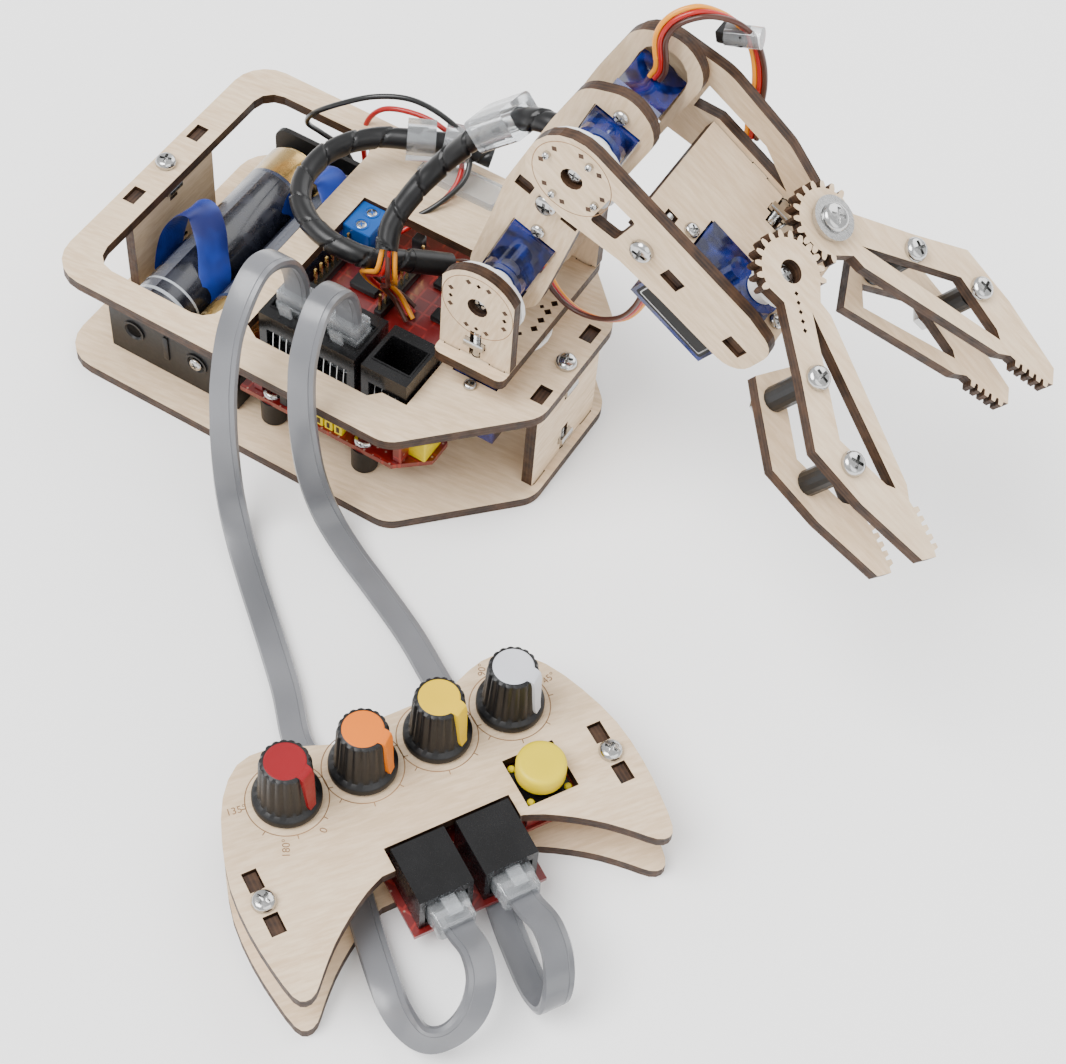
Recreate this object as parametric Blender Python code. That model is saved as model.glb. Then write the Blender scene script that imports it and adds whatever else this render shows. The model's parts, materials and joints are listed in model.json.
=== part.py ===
"""Desktop servo arm kit: laser-cut plywood arm on a battery base, with a wired hand controller.

Lengths are millimetres until MM turns them into metres. The origin is the base swivel's axis at floor
level, +X points forward (the way the arm reaches), +Y to its left, +Z up. Each body hangs on an empty
that stands on its joint's axis.
"""
import math

import bmesh
import bpy
from mathutils import Matrix, Vector

for old in list(bpy.data.objects):
    bpy.data.objects.remove(old)

MM = 0.001
GAP = 0.3                       # clearance between neighbouring pieces
PLY = 3.0                       # plywood thickness

# Base
FLOOR_TOP = PLY                 # top of the bottom plate
DECK_LOW = 32.6                 # underside of the top plate
DECK_TOP = DECK_LOW + PLY
BASE_BACK, BASE_FRONT, BASE_HALF = -110.0, 20.0, 46.0
SUPPORT_FRONT_X, SUPPORT_REAR_X = 14.7, -107.9
FRONT_TAB_Y, REAR_TAB_Y = 11.9, 13.8
TAB, SLOT = 5.0, 5.6            # tab width and the slot that takes it
TAB_REACH = 2.0                 # how far a tab goes into its slot
CELL_X, CELL_R, CELL_LENGTH, CELL_Z = (-88.6, -69.7), 9.1, 65.0, 14.4
HOLDER_X, HOLDER_Y = (-99.3, -59.0), (-36.7, 40.3)
BOARD_Z, SHIELD_Z = 11.2, 23.1
JACK_X, JACK_Y = (-47.2, -32.0, -16.8), -24.8
JACK_SIZE = (13.2, 15.4)
JACK_TOP = 41.2

# Micro servo, from the top of its case: shaft on the local Z axis, body along +X
SHAFT_END, FAR_END, SERVO_HALF, SERVO_DEPTH = -5.9, 16.9, 6.1, 22.7
EAR, EAR_TOP, EAR_LOW = 4.7, -4.3, -6.8
EAR_HOLES = (SHAFT_END - 2.5, FAR_END + 2.5)
DOME, SPLINE = 3.0, 4.9
WINDOW_EASE = 0.35              # gap round a servo in its window

# Arm
FLOOR_YOKE = 42.2
SHOULDER_Z = 63.1
ARM_ANGLE, FOREARM_ANGLE = 69.0, -32.9
ARM_LENGTH = 60.05
NEAR_SIDE, FAR_SIDE = -14.9, 24.0          # inner faces of the yoke's side plates
ARM_NEAR, ARM_FAR = -3.35, 16.5            # lower faces of the upper arm's plates
FORE_NEAR, FORE_FAR = -18.6, 20.7          # lower faces of the forearm's plates
SERVO_Y = ARM_NEAR + PLY + GAP + EAR_TOP   # case top of the arm's servos

# Gripper, in the forearm's own frame
GEAR_T, GEAR_A_Y, GEAR_B_Y = 46.4, -6.4, 11.4
TEETH = 20
MODULE = (GEAR_B_Y - GEAR_A_Y) / TEETH
ANGLE_A, ANGLE_B = -39.45, 33.35
CLAW_LOW, CLAW_HIGH = 0.0, 15.0
SAW_PITCH, SAW_HEIGHT = 2.2, 1.4

# Hand controller
PAD_AT, PAD_TURN = (55.1, -118.0), 58.9
PAD_TOP = 15.5
KNOB_U, KNOB_V = (-28.15, -9.4, 9.4, 28.15), 21.2
BUTTON = (26.1, 2.2)
PAD_JACK_U = (-6.7, 9.4)

# Flat data cables
CABLE_WIDTH, CABLE_THICK = 7.2, 2.3

model = bpy.data.collections.new("servo_arm_kit")
cutters = bpy.data.collections.new("cutters")
bpy.context.scene.collection.children.link(model)
bpy.context.scene.collection.children.link(cutters)


def material(name, colour, rough, metal=0.0):
    made = bpy.data.materials.new(name)
    made.use_nodes = True
    shader = made.node_tree.nodes["Principled BSDF"]
    shader.inputs["Base Color"].default_value = (*colour, 1)
    shader.inputs["Roughness"].default_value = rough
    shader.inputs["Metallic"].default_value = metal
    return made


LOOKS = {
    "plywood": ((0.72, 0.56, 0.38), 0.6, 0.0),
    "servo_blue": ((0.01, 0.02, 0.16), 0.2, 0.0),
    "white_plastic": ((0.8, 0.8, 0.8), 0.45, 0.0),
    "black_plastic": ((0.015, 0.015, 0.016), 0.4, 0.0),
    "red_board": ((0.35, 0.01, 0.01), 0.35, 0.0),
    "cell_wrap": ((0.01, 0.01, 0.02), 0.3, 0.0),
    "steel": ((0.6, 0.6, 0.6), 0.25, 1.0),
    "grey_cable": ((0.35, 0.36, 0.38), 0.45, 0.0),
    "clear_plastic": ((0.8, 0.85, 0.88), 0.15, 0.0),
    "yellow_plastic": ((0.9, 0.6, 0.03), 0.35, 0.0),
    "orange_wire": ((0.7, 0.2, 0.02), 0.4, 0.0),
}


# Outlines ---------------------------------------------------------------------------------------
def ring(x, y, radius, count=16, start=0.0):
    """Closed outline of a circle, or of any regular polygon."""
    turn = [math.radians(start) + math.tau * k / count for k in range(count)]
    return [(x + radius * math.cos(a), y + radius * math.sin(a)) for a in turn]


def box(x0, y0, x1, y1):
    return [(x0, y0), (x1, y0), (x1, y1), (x0, y1)]


def rounded(*corners, steps=5):
    """Outline through (x, y, radius) corners, with an arc at each corner that has a radius."""
    points = []
    for before, here, after in zip(corners[-1:] + corners[:-1], corners, corners[1:] + corners[:1]):
        corner, radius = Vector(here[:2]), here[2]
        if not radius:
            points.append(tuple(corner))
            continue
        back = (Vector(before[:2]) - corner).normalized()
        ahead = (Vector(after[:2]) - corner).normalized()
        half = back.angle(ahead) / 2
        centre = corner + (back + ahead).normalized() * radius / math.sin(half)
        spoke = corner + back * radius / math.tan(half) - centre
        turn = math.copysign(math.pi - 2 * half, ahead.x * back.y - ahead.y * back.x)
        for k in range(steps + 1):
            points.append(tuple(centre + Matrix.Rotation(turn * k / steps, 2) @ spoke))
    return points


def rounded_box(x0, y0, x1, y1, radius, steps=3):
    return rounded((x0, y0, radius), (x1, y0, radius), (x1, y1, radius), (x0, y1, radius), steps=steps)


def t_slot(x, edge, inward, depth=8.6):
    """Points of a screw slot with its nut pocket, cut into a straight edge along x."""
    shape = ((1.6, 0.0), (1.6, 3.6), (2.85, 3.6), (2.85, 6.0), (1.6, 6.0), (1.6, depth))
    one_side = [(x - half, edge + inward * deep) for half, deep in shape]
    return one_side + [(x + half, edge + inward * deep) for half, deep in reversed(shape)]


# Meshes -----------------------------------------------------------------------------------------
def axes(plane):
    """Where an outline's two coordinates and its height go."""
    return {"XY": lambda a, b, h: (a, b, h), "XZ": lambda a, b, h: (a, h, b),
            "YZ": lambda a, b, h: (h, a, b)}[plane]


def prism(outline, low, high, holes=(), plane="XY"):
    """Flat piece between two heights, with holes through it."""
    mesh = bmesh.new()
    spot = axes(plane)
    for loop in (outline, *holes):
        verts = [mesh.verts.new(Vector(spot(a, b, low)) * MM) for a, b in loop]
        for first, second in zip(verts, verts[1:] + verts[:1]):
            mesh.edges.new((first, second))
    flat = bmesh.ops.triangle_fill(mesh, edges=mesh.edges[:], use_beauty=True)
    faces = [f for f in flat["geom"] if isinstance(f, bmesh.types.BMFace)]
    raised = bmesh.ops.extrude_face_region(mesh, geom=faces, use_keep_orig=True)["geom"]
    lift = Vector(spot(0, 0, high - low)) * MM
    bmesh.ops.translate(mesh, vec=lift, verts=[v for v in raised if isinstance(v, bmesh.types.BMVert)])
    bmesh.ops.recalc_face_normals(mesh, faces=mesh.faces[:])
    return mesh


def loft(rings, tube=False):
    """Skin over rings of points; the ends are capped, or joined to each other in a tube."""
    mesh = bmesh.new()
    rows = [[mesh.verts.new(Vector(p) * MM) for p in one] for one in rings]
    pairs = list(zip(rows, rows[1:])) + ([(rows[-1], rows[0])] if tube else [])
    for low, high in pairs:
        count = len(low)
        for k in range(count):
            mesh.faces.new((low[k], low[(k + 1) % count], high[(k + 1) % count], high[k]))
    if not tube:
        mesh.faces.new(rows[0])
        mesh.faces.new(rows[-1])
    bmesh.ops.recalc_face_normals(mesh, faces=mesh.faces[:])
    return mesh


def turned(profile, count=24, x=0.0, y=0.0, tube=False, plane="XY"):
    """Piece turned about an axis, from (radius, height) pairs."""
    spot = axes(plane)
    rings = [[spot(a, b, h) for a, b in ring(x, y, r, count)] for r, h in profile]
    return loft(rings, tube)


def cup(outer, inner, low, floor, top):
    """Box with a pocket open at the top; both outlines have the same number of points."""
    level = ((outer, low), (outer, top), (inner, top), (inner, floor))
    return loft([[(x, y, z) for x, y in outline] for outline, z in level])


def sweep(route, sides, section):
    """Solid of one cross-section along a route; sides is the section's first axis at each point."""
    rings = []
    for k, here in enumerate(route):
        ahead = (route[min(k + 1, len(route) - 1)] - route[max(k - 1, 0)]).normalized()
        side = (sides[k] - ahead * sides[k].dot(ahead)).normalized()
        up = side.cross(ahead)
        rings.append([here + side * a + up * b for a, b in section])
    return loft(rings)


# Nodes ------------------------------------------------------------------------------------------
def add(name, mesh, look, parent, at=(0, 0, 0), turn=(0, 0, 0), collection=model):
    data = bpy.data.meshes.new(name)
    mesh.to_mesh(data)
    mesh.free()
    piece = bpy.data.objects.new(name, data)
    collection.objects.link(piece)
    piece.parent = parent
    piece.location = Vector(at) * MM
    piece.rotation_euler = [math.radians(a) for a in turn]
    if look:
        data.materials.append(materials[look])
    return piece


def node(name, mesh, look, parent, at=(0, 0, 0), turn=(0, 0, 0), joined=(), cut=()):
    """One named solid, with meshes added to it and cut out of it."""
    piece = add(name, mesh, look, parent, at, turn)
    steps = [("UNION", m) for m in joined] + [("DIFFERENCE", m) for m in cut]
    for number, (operation, tool_mesh) in enumerate(steps):
        tool = add(f"{name}_tool_{number}", tool_mesh, None, parent, at, turn, cutters)
        tool.hide_render = True
        tool.display_type = "WIRE"
        change = piece.modifiers.new(tool.name, "BOOLEAN")
        change.operation = operation
        change.solver = "EXACT"
        change.object = tool
    return piece


def axis_empty(name, parent, at, turn=(0, 0, 0)):
    """Frame of a moving body, standing on its joint's axis."""
    empty = bpy.data.objects.new(name, None)
    model.objects.link(empty)
    empty.parent = parent
    empty.location = Vector(at) * MM
    empty.rotation_euler = [math.radians(a) for a in turn]
    return empty


materials = {name: material(name, *look) for name, look in LOOKS.items()}


# Shared pieces ----------------------------------------------------------------------------------
def servo(name, parent, at, turn, stub=()):
    """Micro servo: case with two screw ears, gear dome and output shaft, and any stub pivot opposite it."""
    side = [(SHAFT_END, -SERVO_DEPTH), (FAR_END, -SERVO_DEPTH), (FAR_END, EAR_LOW), (FAR_END + EAR, EAR_LOW),
            (FAR_END + EAR, EAR_TOP), (FAR_END, EAR_TOP), (FAR_END, 0), (SHAFT_END, 0), (SHAFT_END, EAR_TOP),
            (SHAFT_END - EAR, EAR_TOP), (SHAFT_END - EAR, EAR_LOW), (SHAFT_END, EAR_LOW)]
    dome = turned([(5.8, -1), (5.8, DOME), (2.4, DOME), (2.4, SPLINE)], 20)
    idler = turned([(2.7, -1), (2.7, DOME - 0.2)], 12, x=6.4)
    holes = [turned([(1.1, EAR_LOW - 1), (1.1, EAR_TOP + 1)], 8, x=x) for x in EAR_HOLES]
    pivot = [turned(stub, 20)] if stub else []
    return node(name, prism(side, -SERVO_HALF, SERVO_HALF, plane="XZ"), "servo_blue", parent, at, turn,
                joined=[dome, idler, *pivot], cut=holes)


def horn(name, parent, at, turn, reach, radius=10.4):
    """Round servo horn on its hub, ending reach above the servo's case."""
    disc = reach - 1.5
    low = DOME + GAP
    profile = [(2.7, low), (3.8, low), (3.8, disc), (radius, disc), (radius, reach), (2.7, reach)]
    if disc - low < 0.5:
        profile = [(2.7, low), (radius, low), (radius, reach), (2.7, reach)]
    return node(name, turned(profile, 24, tube=True), "white_plastic", parent, at, turn)


def servo_window(shaft, direction):
    """Hole in a plate for a servo whose body runs in the given direction from its shaft."""
    ends = sorted(shaft + direction * x for x in (SHAFT_END - WINDOW_EASE, FAR_END + WINDOW_EASE))
    half = SERVO_HALF + WINDOW_EASE
    return box(ends[0], -half, ends[1], half)


def ear_screws(shaft, direction, radius=1.0):
    return [ring(shaft + direction * x, 0, radius, 8) for x in EAR_HOLES]


def horn_marks(x, y, turn=0.0):
    """Screw holes round a servo horn, and the hole over its own screw."""
    around = [turn + 90 * k for k in range(4)]
    spots = [(x + 7.5 * math.cos(math.radians(a)), y + 7.5 * math.sin(math.radians(a))) for a in around]
    return [ring(x, y, 2.8, 14)] + [ring(a, b, 0.7, 4) for a, b in spots]


# Base -------------------------------------------------------------------------------------------
def base_outline():
    back, half = BASE_BACK, BASE_HALF
    return rounded((back, -half, 10), (-7.2, -half, 8), (BASE_FRONT, -18.1, 8), (BASE_FRONT, 18.1, 8),
                   (-7.2, half, 8), (back, half, 10))


def tab_slots():
    """Slots for the supports' tabs and the holes for their screws, the same in both plates."""
    slots = []
    for x, tab_y in ((SUPPORT_FRONT_X, FRONT_TAB_Y), (SUPPORT_REAR_X, REAR_TAB_Y)):
        for y in (-tab_y, tab_y):
            slots.append(box(x - GAP, y - SLOT / 2, x + PLY + GAP, y + SLOT / 2))
        slots.append(ring(x + PLY / 2, 0, 1.6, 12))
    return slots


def support_outline(half, tab_y, low, high):
    """Upright with a tab at each corner and a screw slot in each long edge, as (y, z)."""
    reach = TAB_REACH + GAP
    points = []
    for edge, out, order in ((low, -1, 1), (high, 1, -1)):
        row = [(order * -half, edge)]
        for y in (-tab_y * order, tab_y * order):
            left, right = y - order * TAB / 2, y + order * TAB / 2
            tab = [(left, edge), (left, edge + out * reach), (right, edge + out * reach), (right, edge)]
            slot = t_slot(0, edge, -out)
            row += tab if y * order > 0 else tab + (slot if order > 0 else slot[::-1])
        row.append((order * half, edge))
        points += row
    return points


def base_plates():
    outline = base_outline()
    node("base_plate_bottom", prism(outline, 0, FLOOR_TOP, tab_slots()), "plywood", None)
    battery = rounded_box(-101.1, -38.2, -64.5, 38.2, 6)
    boards = [(-56.7, -33.5), (-52.4, -36), (-19.3, -36), (-16.7, -33.2), (-9.6, -33.2), (-9.6, 19.3),
              (-56.7, 19.3)]
    half = SERVO_HALF + WINDOW_EASE
    turning = box(-half, -FAR_END - WINDOW_EASE, half, -SHAFT_END + WINDOW_EASE)
    ears = [ring(0, -x, 1.0, 8) for x in EAR_HOLES]
    holes = tab_slots() + [battery, boards, turning] + ears
    node("base_plate_top", prism(outline, DECK_LOW, DECK_TOP, holes), "plywood", None)


def base_supports():
    low, high = FLOOR_TOP + GAP, DECK_LOW - GAP
    for name, x, half, tab_y in (("base_support_front", SUPPORT_FRONT_X, 15.6, FRONT_TAB_Y),
                                 ("base_support_rear", SUPPORT_REAR_X, 17.5, REAR_TAB_Y)):
        shape = support_outline(half, tab_y, low, high)
        node(name, prism(shape, x, x + PLY, plane="YZ"), "plywood", None)


def battery():
    (x0, x1), (y0, y1) = HOLDER_X, HOLDER_Y
    wall, bottom = 1.2, FLOOR_TOP + GAP
    tray = cup(box(x0, y0, x1, y1), box(x0 + wall, y0 + 1.5, x1 - wall, y1 - 1.5), bottom, 4.8, 12.0)
    ends = []
    for y in (y0, y1 - 1.5):
        end = rounded((x0, 6, 0), (x1, 6, 0), (x1, 22, 4), (x0, 22, 4))
        ends.append(prism(end, y, y + 1.5, plane="XZ"))
    node("battery_holder", tray, "black_plastic", None, joined=ends)
    middle = (y0 + y1) / 2
    for number, (x, tip) in enumerate(zip(CELL_X, (1, -1)), 1):
        half = CELL_LENGTH / 2
        profile = [(CELL_R, -half), (CELL_R, half - 1.2), (CELL_R - 1.5, half), (3.5, half),
                   (3.5, half + 1.5)]
        name, turn = f"battery_cell_{number}", (-90 * tip, 0, 0)
        node(name, turned(profile, 28), "cell_wrap", None, (x, middle, CELL_Z), turn)


def boards():
    outline = [(-58.4, -36), (-12, -36), (-4, -29), (-4, -22), (-7.2, -19.5), (-7.2, 32), (-58.4, 32)]
    posts = [turned([(3.0, FLOOR_TOP + GAP), (3.0, BOARD_Z + 0.5)], 14, x=x, y=y)
             for x, y in ((-50, -33), (-22, -33), (-50, 28), (-16, 28))]
    node("control_board", prism(outline, BOARD_Z, BOARD_Z + 1.6), "red_board", None, joined=posts)
    card, leg, low = SHIELD_Z, 2.5, BOARD_Z + 1.6 + GAP
    side = [(-56.8, card), (-55, card), (-55, low), (-55 + leg, low), (-55 + leg, card), (-12.5, card),
            (-12.5, low), (-12.5 + leg, low), (-12.5 + leg, card), (-8.6, card), (-8.6, card + 1.6),
            (-56.8, card + 1.6)]
    node("jack_board", prism(side, -34.5, 26, plane="XZ"), "red_board", None)


def base_jacks():
    """Top-entry data jacks, each a block with a stepped socket and a contact window at the front."""
    bottom = SHIELD_Z + 1.6 + GAP
    for number, x in enumerate(JACK_X, 1):
        half_x, half_y = JACK_SIZE[0] / 2, JACK_SIZE[1] / 2
        block = cup(box(-half_x, -half_y, half_x, half_y), box(-5.2, -4.2, 5.2, 4.2), bottom, 28.0, JACK_TOP)
        contacts = prism(box(-4.4, 28.5, 4.4, 36.0), -half_y - 1, -4.0, plane="XZ")
        node(f"base_jack_{number}", block, "black_plastic", None, (x, JACK_Y, 0), cut=[contacts])


# Arm --------------------------------------------------------------------------------------------
def yoke(parent):
    """Swivelling foot: floor plate and two side plates, on the base servo's horn."""
    servo("base_servo", None, (0, 0, DECK_LOW - GAP - EAR_TOP), (0, 0, -90))
    horn("swivel_horn", parent, (0, 0, DECK_LOW - GAP - EAR_TOP), (0, 0, 0),
         FLOOR_YOKE - GAP - (DECK_LOW - GAP - EAR_TOP))
    low, high = FLOOR_YOKE, FLOOR_YOKE + PLY
    near, far = NEAR_SIDE - PLY, FAR_SIDE
    slots = [box(x - 2.3, y - GAP, x + 2.3, y + PLY + GAP) for x in (-6.4, 6.4) for y in (near, far)]
    marks = [ring(7.4, -2 + 3.3 * k, 1.1, 4) for k in range(4)]
    screws = [ring(0, y + PLY / 2, 1.6, 10) for y in (near, far)]
    floor = rounded_box(-10, -21.5, 10, 27.8, 2)
    holes = slots + marks + screws + horn_marks(0, 0, 45)
    node("yoke_floor", prism(floor, low, high, holes), "plywood", parent)
    for name, y, hole in (("yoke_side_near", near, 0), ("yoke_side_far", far, 3.0)):
        foot = high + GAP
        top = [(11.5 * math.cos(a), SHOULDER_Z + 11.5 * math.sin(a))
               for a in (math.radians(30 + 10 * k) for k in range(13))]
        tabs = [[(x - 2, foot), (x - 2, high - TAB_REACH), (x + 2, high - TAB_REACH), (x + 2, foot)]
                for x in (-6.4, 6.4)]
        outline = [(-10, foot), *tabs[0], *t_slot(0, foot, 1), *tabs[1], (10, foot), *top]
        holes = [ring(0, SHOULDER_Z, hole, 16)] if hole else horn_marks(0, SHOULDER_Z)
        node(name, prism(outline, y, y + PLY, holes, plane="XZ"), "plywood", parent)
    reach = SERVO_Y - NEAR_SIDE - GAP
    horn("shoulder_horn", parent, (0, SERVO_Y, SHOULDER_Z), (90, 0, 0), reach)


def upper_arm(parent):
    """Two plates with a crosspiece, carrying the shoulder and elbow servos between them."""
    length = ARM_LENGTH
    cross_t, cross_tabs = 27.9, (8.8, -4.7)
    slots = [box(cross_t - GAP, z - 2.3, cross_t + PLY + GAP, z + 2.3) for z in cross_tabs]
    servo_holes = ear_screws(0, 1) + ear_screws(length, -1)
    near = rounded((-11.5, 9.2, 8), (12, 11.3, 0), (27, 13.2, 0), (53, 12.2, 0), (68, 10.8, 8),
                   (75, 1, 8), (71, -9.6, 8), (55, -8.6, 0), (31, -7.2, 0), (10, -9.3, 0), (-11.5, -11.2, 9))
    holes = [servo_window(0, 1), servo_window(length, -1), ring(cross_t + PLY / 2, 2, 1.6, 10)]
    node("arm_plate_near", prism(near, ARM_NEAR, ARM_NEAR + PLY, holes + slots + servo_holes, plane="XZ"),
         "plywood", parent)
    far = rounded((-15.5, 8, 8), (12, 11.3, 0), (27, 13.2, 0), (53, 12.2, 0), (71, 10.4, 9),
                  (79, 0, 9), (72, -9.6, 8), (55, -8.6, 0), (31, -7.2, 0), (10, -9.3, 0), (-15.5, -9, 8))
    holes = [keyhole(0, 1), keyhole(length, -1), ring(cross_t + PLY / 2, 2, 1.6, 10)]
    node("arm_plate_far", prism(far, ARM_FAR, ARM_FAR + PLY, holes + slots, plane="XZ"), "plywood", parent)
    arm_crosspiece(parent, cross_t, cross_tabs)
    for name, t, roll, plate in (("shoulder_servo", 0, 0, FAR_SIDE), ("elbow_servo", length, 180, FORE_FAR)):
        reach = SERVO_Y - plate
        stub = [(5.0, 1 - SERVO_DEPTH), (5.0, reach + 0.5), (2.5, reach + 0.5), (2.5, reach - PLY - 1.2)]
        servo(name, parent, (t, SERVO_Y, 0), (90, roll, 0), stub)


def keyhole(shaft, direction):
    """Servo window with a round end past the shaft, where the wires come out."""
    half = SERVO_HALF + WINDOW_EASE
    body = shaft + direction * (FAR_END + WINDOW_EASE)
    start = 90 if direction > 0 else -90
    lobe = shaft - direction * 5.9
    arc = [math.radians(start + 22.5 * k) for k in range(9)]
    return [(body, -direction * half), (body, direction * half),
            *[(lobe + half * math.cos(a), half * math.sin(a)) for a in arc]]


def arm_crosspiece(parent, t, tabs):
    """Plate across the arm, tabbed into both sides, as (y, z)."""
    y0, y1 = ARM_NEAR + PLY + GAP, ARM_FAR - GAP
    tip0, tip1 = ARM_NEAR + PLY - TAB_REACH, ARM_FAR + TAB_REACH
    high, low = tabs
    near = [(y0, high + 2), (tip0, high + 2), (tip0, high - 2), (y0, high - 2),
            *[(y, z) for z, y in t_slot(2, y0, 1, 7)][::-1],
            (y0, low + 2), (tip0, low + 2), (tip0, low - 2), (y0, low - 2)]
    far = [(y1, low - 2), (tip1, low - 2), (tip1, low + 2), (y1, low + 2),
           *[(y, z) for z, y in t_slot(2, y1, -1, 7)],
           (y1, high - 2), (tip1, high - 2), (tip1, high + 2), (y1, high + 2)]
    node("arm_crosspiece", prism(near + far, t, t + PLY, plane="YZ"), "plywood", parent)


def forearm(parent):
    """Two plates and a deck; the deck carries the gripper's servo and the second gear's post."""
    deck_slots = [box(t - 2.6, -GAP, t + 2.6, PLY + GAP) for t in (30.9, 51.1)]
    near = rounded((-11.2, -11.4, 10.5), (-11.2, 11.2, 10.5), (20, 11.4, 0), (47, 11.8, 0), (56.8, 10, 5),
                   (57.2, -5.2, 6), (33, -6, 0), (21, -7, 0), (5, -11.4, 8))
    window = rounded((8.3, 5.1, 0.8), (15.9, 5.5, 0.8), (16.4, -3.2, 0.8), (9.6, -4.9, 0.8), steps=2)
    holes = [window, ring(21.5, 1.5, 1.6, 10)] + deck_slots + horn_marks(0, 0)
    node("forearm_plate_near", prism(near, FORE_NEAR, FORE_NEAR + PLY, holes, plane="XZ"), "plywood", parent)
    far = rounded((-11.2, -11.4, 10.5), (-11.2, 10.2, 10), (9, 16.4, 16), (30, 15.4, 12), (43, 11.6, 8),
                  (56.8, 8, 5), (57.2, -5.2, 6), (33, -6, 0), (21, -7, 0), (5, -11.4, 8))
    window = [(8.5, 9.2), (10, 1.2), (16, 4.4), (38.5, 4.6), (27, 9.6)]
    holes = [window, ring(40.4, 1.5, 1.6, 10), ring(0, 0, 2.9, 16)] + deck_slots
    node("forearm_plate_far", prism(far, FORE_FAR, FORE_FAR + PLY, holes, plane="XZ"), "plywood", parent)
    forearm_deck(parent)
    horn("elbow_horn", parent, (0, SERVO_Y, 0), (90, 0, 0), SERVO_Y - FORE_NEAR - PLY - GAP)
    servo("gripper_servo", parent, (GEAR_T, GEAR_A_Y, -GAP - EAR_TOP), (0, 0, 180))
    post = [(4.6, PLY + GAP), (4.6, CLAW_HIGH - GAP), (2.5, CLAW_HIGH - GAP), (2.5, CLAW_HIGH + PLY + GAP),
            (4.8, CLAW_HIGH + PLY + GAP), (4.8, CLAW_HIGH + PLY + 1.5), (2.6, CLAW_HIGH + PLY + 1.5),
            (2.6, CLAW_HIGH + PLY + 3.4)]
    node("claw_post", turned(post, 24, x=GEAR_T, y=GEAR_B_Y), "steel", parent)


def forearm_deck(parent):
    y0, y1 = FORE_NEAR + PLY + GAP, FORE_FAR - GAP
    tip0, tip1 = FORE_NEAR + PLY - TAB_REACH, FORE_FAR + TAB_REACH
    left, right = [], []
    for t in (30.9, 51.1):
        left += [(t - 2.3, y0), (t - 2.3, tip0), (t + 2.3, tip0), (t + 2.3, y0)]
        right = [(t + 2.3, y1), (t + 2.3, tip1), (t - 2.3, tip1), (t - 2.3, y1)] + right
    outline = [(15.5, y0), *t_slot(21.5, y0, 1), *left, (55, y0), (57.5, y0 + 3), (57.5, y1 - 3), (55, y1),
               *right[:4], *t_slot(40.4, y1, -1)[::-1], *right[4:], (15.5, y1)]
    half = SERVO_HALF + WINDOW_EASE
    window = box(GEAR_T - FAR_END - WINDOW_EASE, GEAR_A_Y - half, GEAR_T - SHAFT_END + WINDOW_EASE,
                 GEAR_A_Y + half)
    ears = [ring(GEAR_T - x, GEAR_A_Y, 1.0, 8) for x in EAR_HOLES]
    node("forearm_deck", prism(outline, 0, PLY, [window, *ears]), "plywood", parent)


# Gripper ----------------------------------------------------------------------------------------
def gear_teeth(first, mirror):
    """Involute teeth of a claw's gear, over the part of its rim that the arm leaves free."""
    pitch = MODULE * TEETH / 2
    base = pitch * math.cos(math.radians(20))
    at_pitch = math.pi / 2 / TEETH - 0.006
    points = []
    for k in range(TEETH):
        middle = first + 360 / TEETH * k
        offset = (middle * mirror + 180) % 360 - 180
        if abs(offset) < 62:
            continue
        flank = []
        for radius in (pitch - 1.15 * MODULE, base + 0.05, pitch, pitch + 0.78 * MODULE):
            press = math.acos(min(1, base / max(radius, base)))
            roll = math.tan(press) - press
            half = at_pitch + math.tan(math.radians(20)) - math.radians(20) - roll
            flank.append((radius, math.degrees(half)))
        sides = [(r, middle - h) for r, h in flank] + [(r, middle + h) for r, h in reversed(flank)]
        points.append((offset % 360, sides))
    points.sort(key=lambda item: item[0])
    return [spot for _, sides in points for spot in (sides if mirror > 0 else sides[::-1])]


def claw_outline(start, inner, mirror):
    """Finger from start round its tip and back, as (along, inward) points."""
    saw = []
    for k in reversed(range(5)):
        for along, out in ((0.9, 0), (0.8, SAW_HEIGHT), (0.3, SAW_HEIGHT), (0.2, 0)):
            reach = (k + along) * SAW_PITCH
            saw.append((53.7 + 0.955 * reach - 0.295 * out, 18.6 + 0.295 * reach + 0.955 * out))
    finger = [*start, (23.6, -4.0), (40.0, -4.8), (52.4, 4.5), (65.8, 17.7), (65.4, 21.9), *saw,
              (52.6, 18.0), (49.0, 18.4), *inner]
    return [(u, mirror * v) for u, v in finger]


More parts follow.
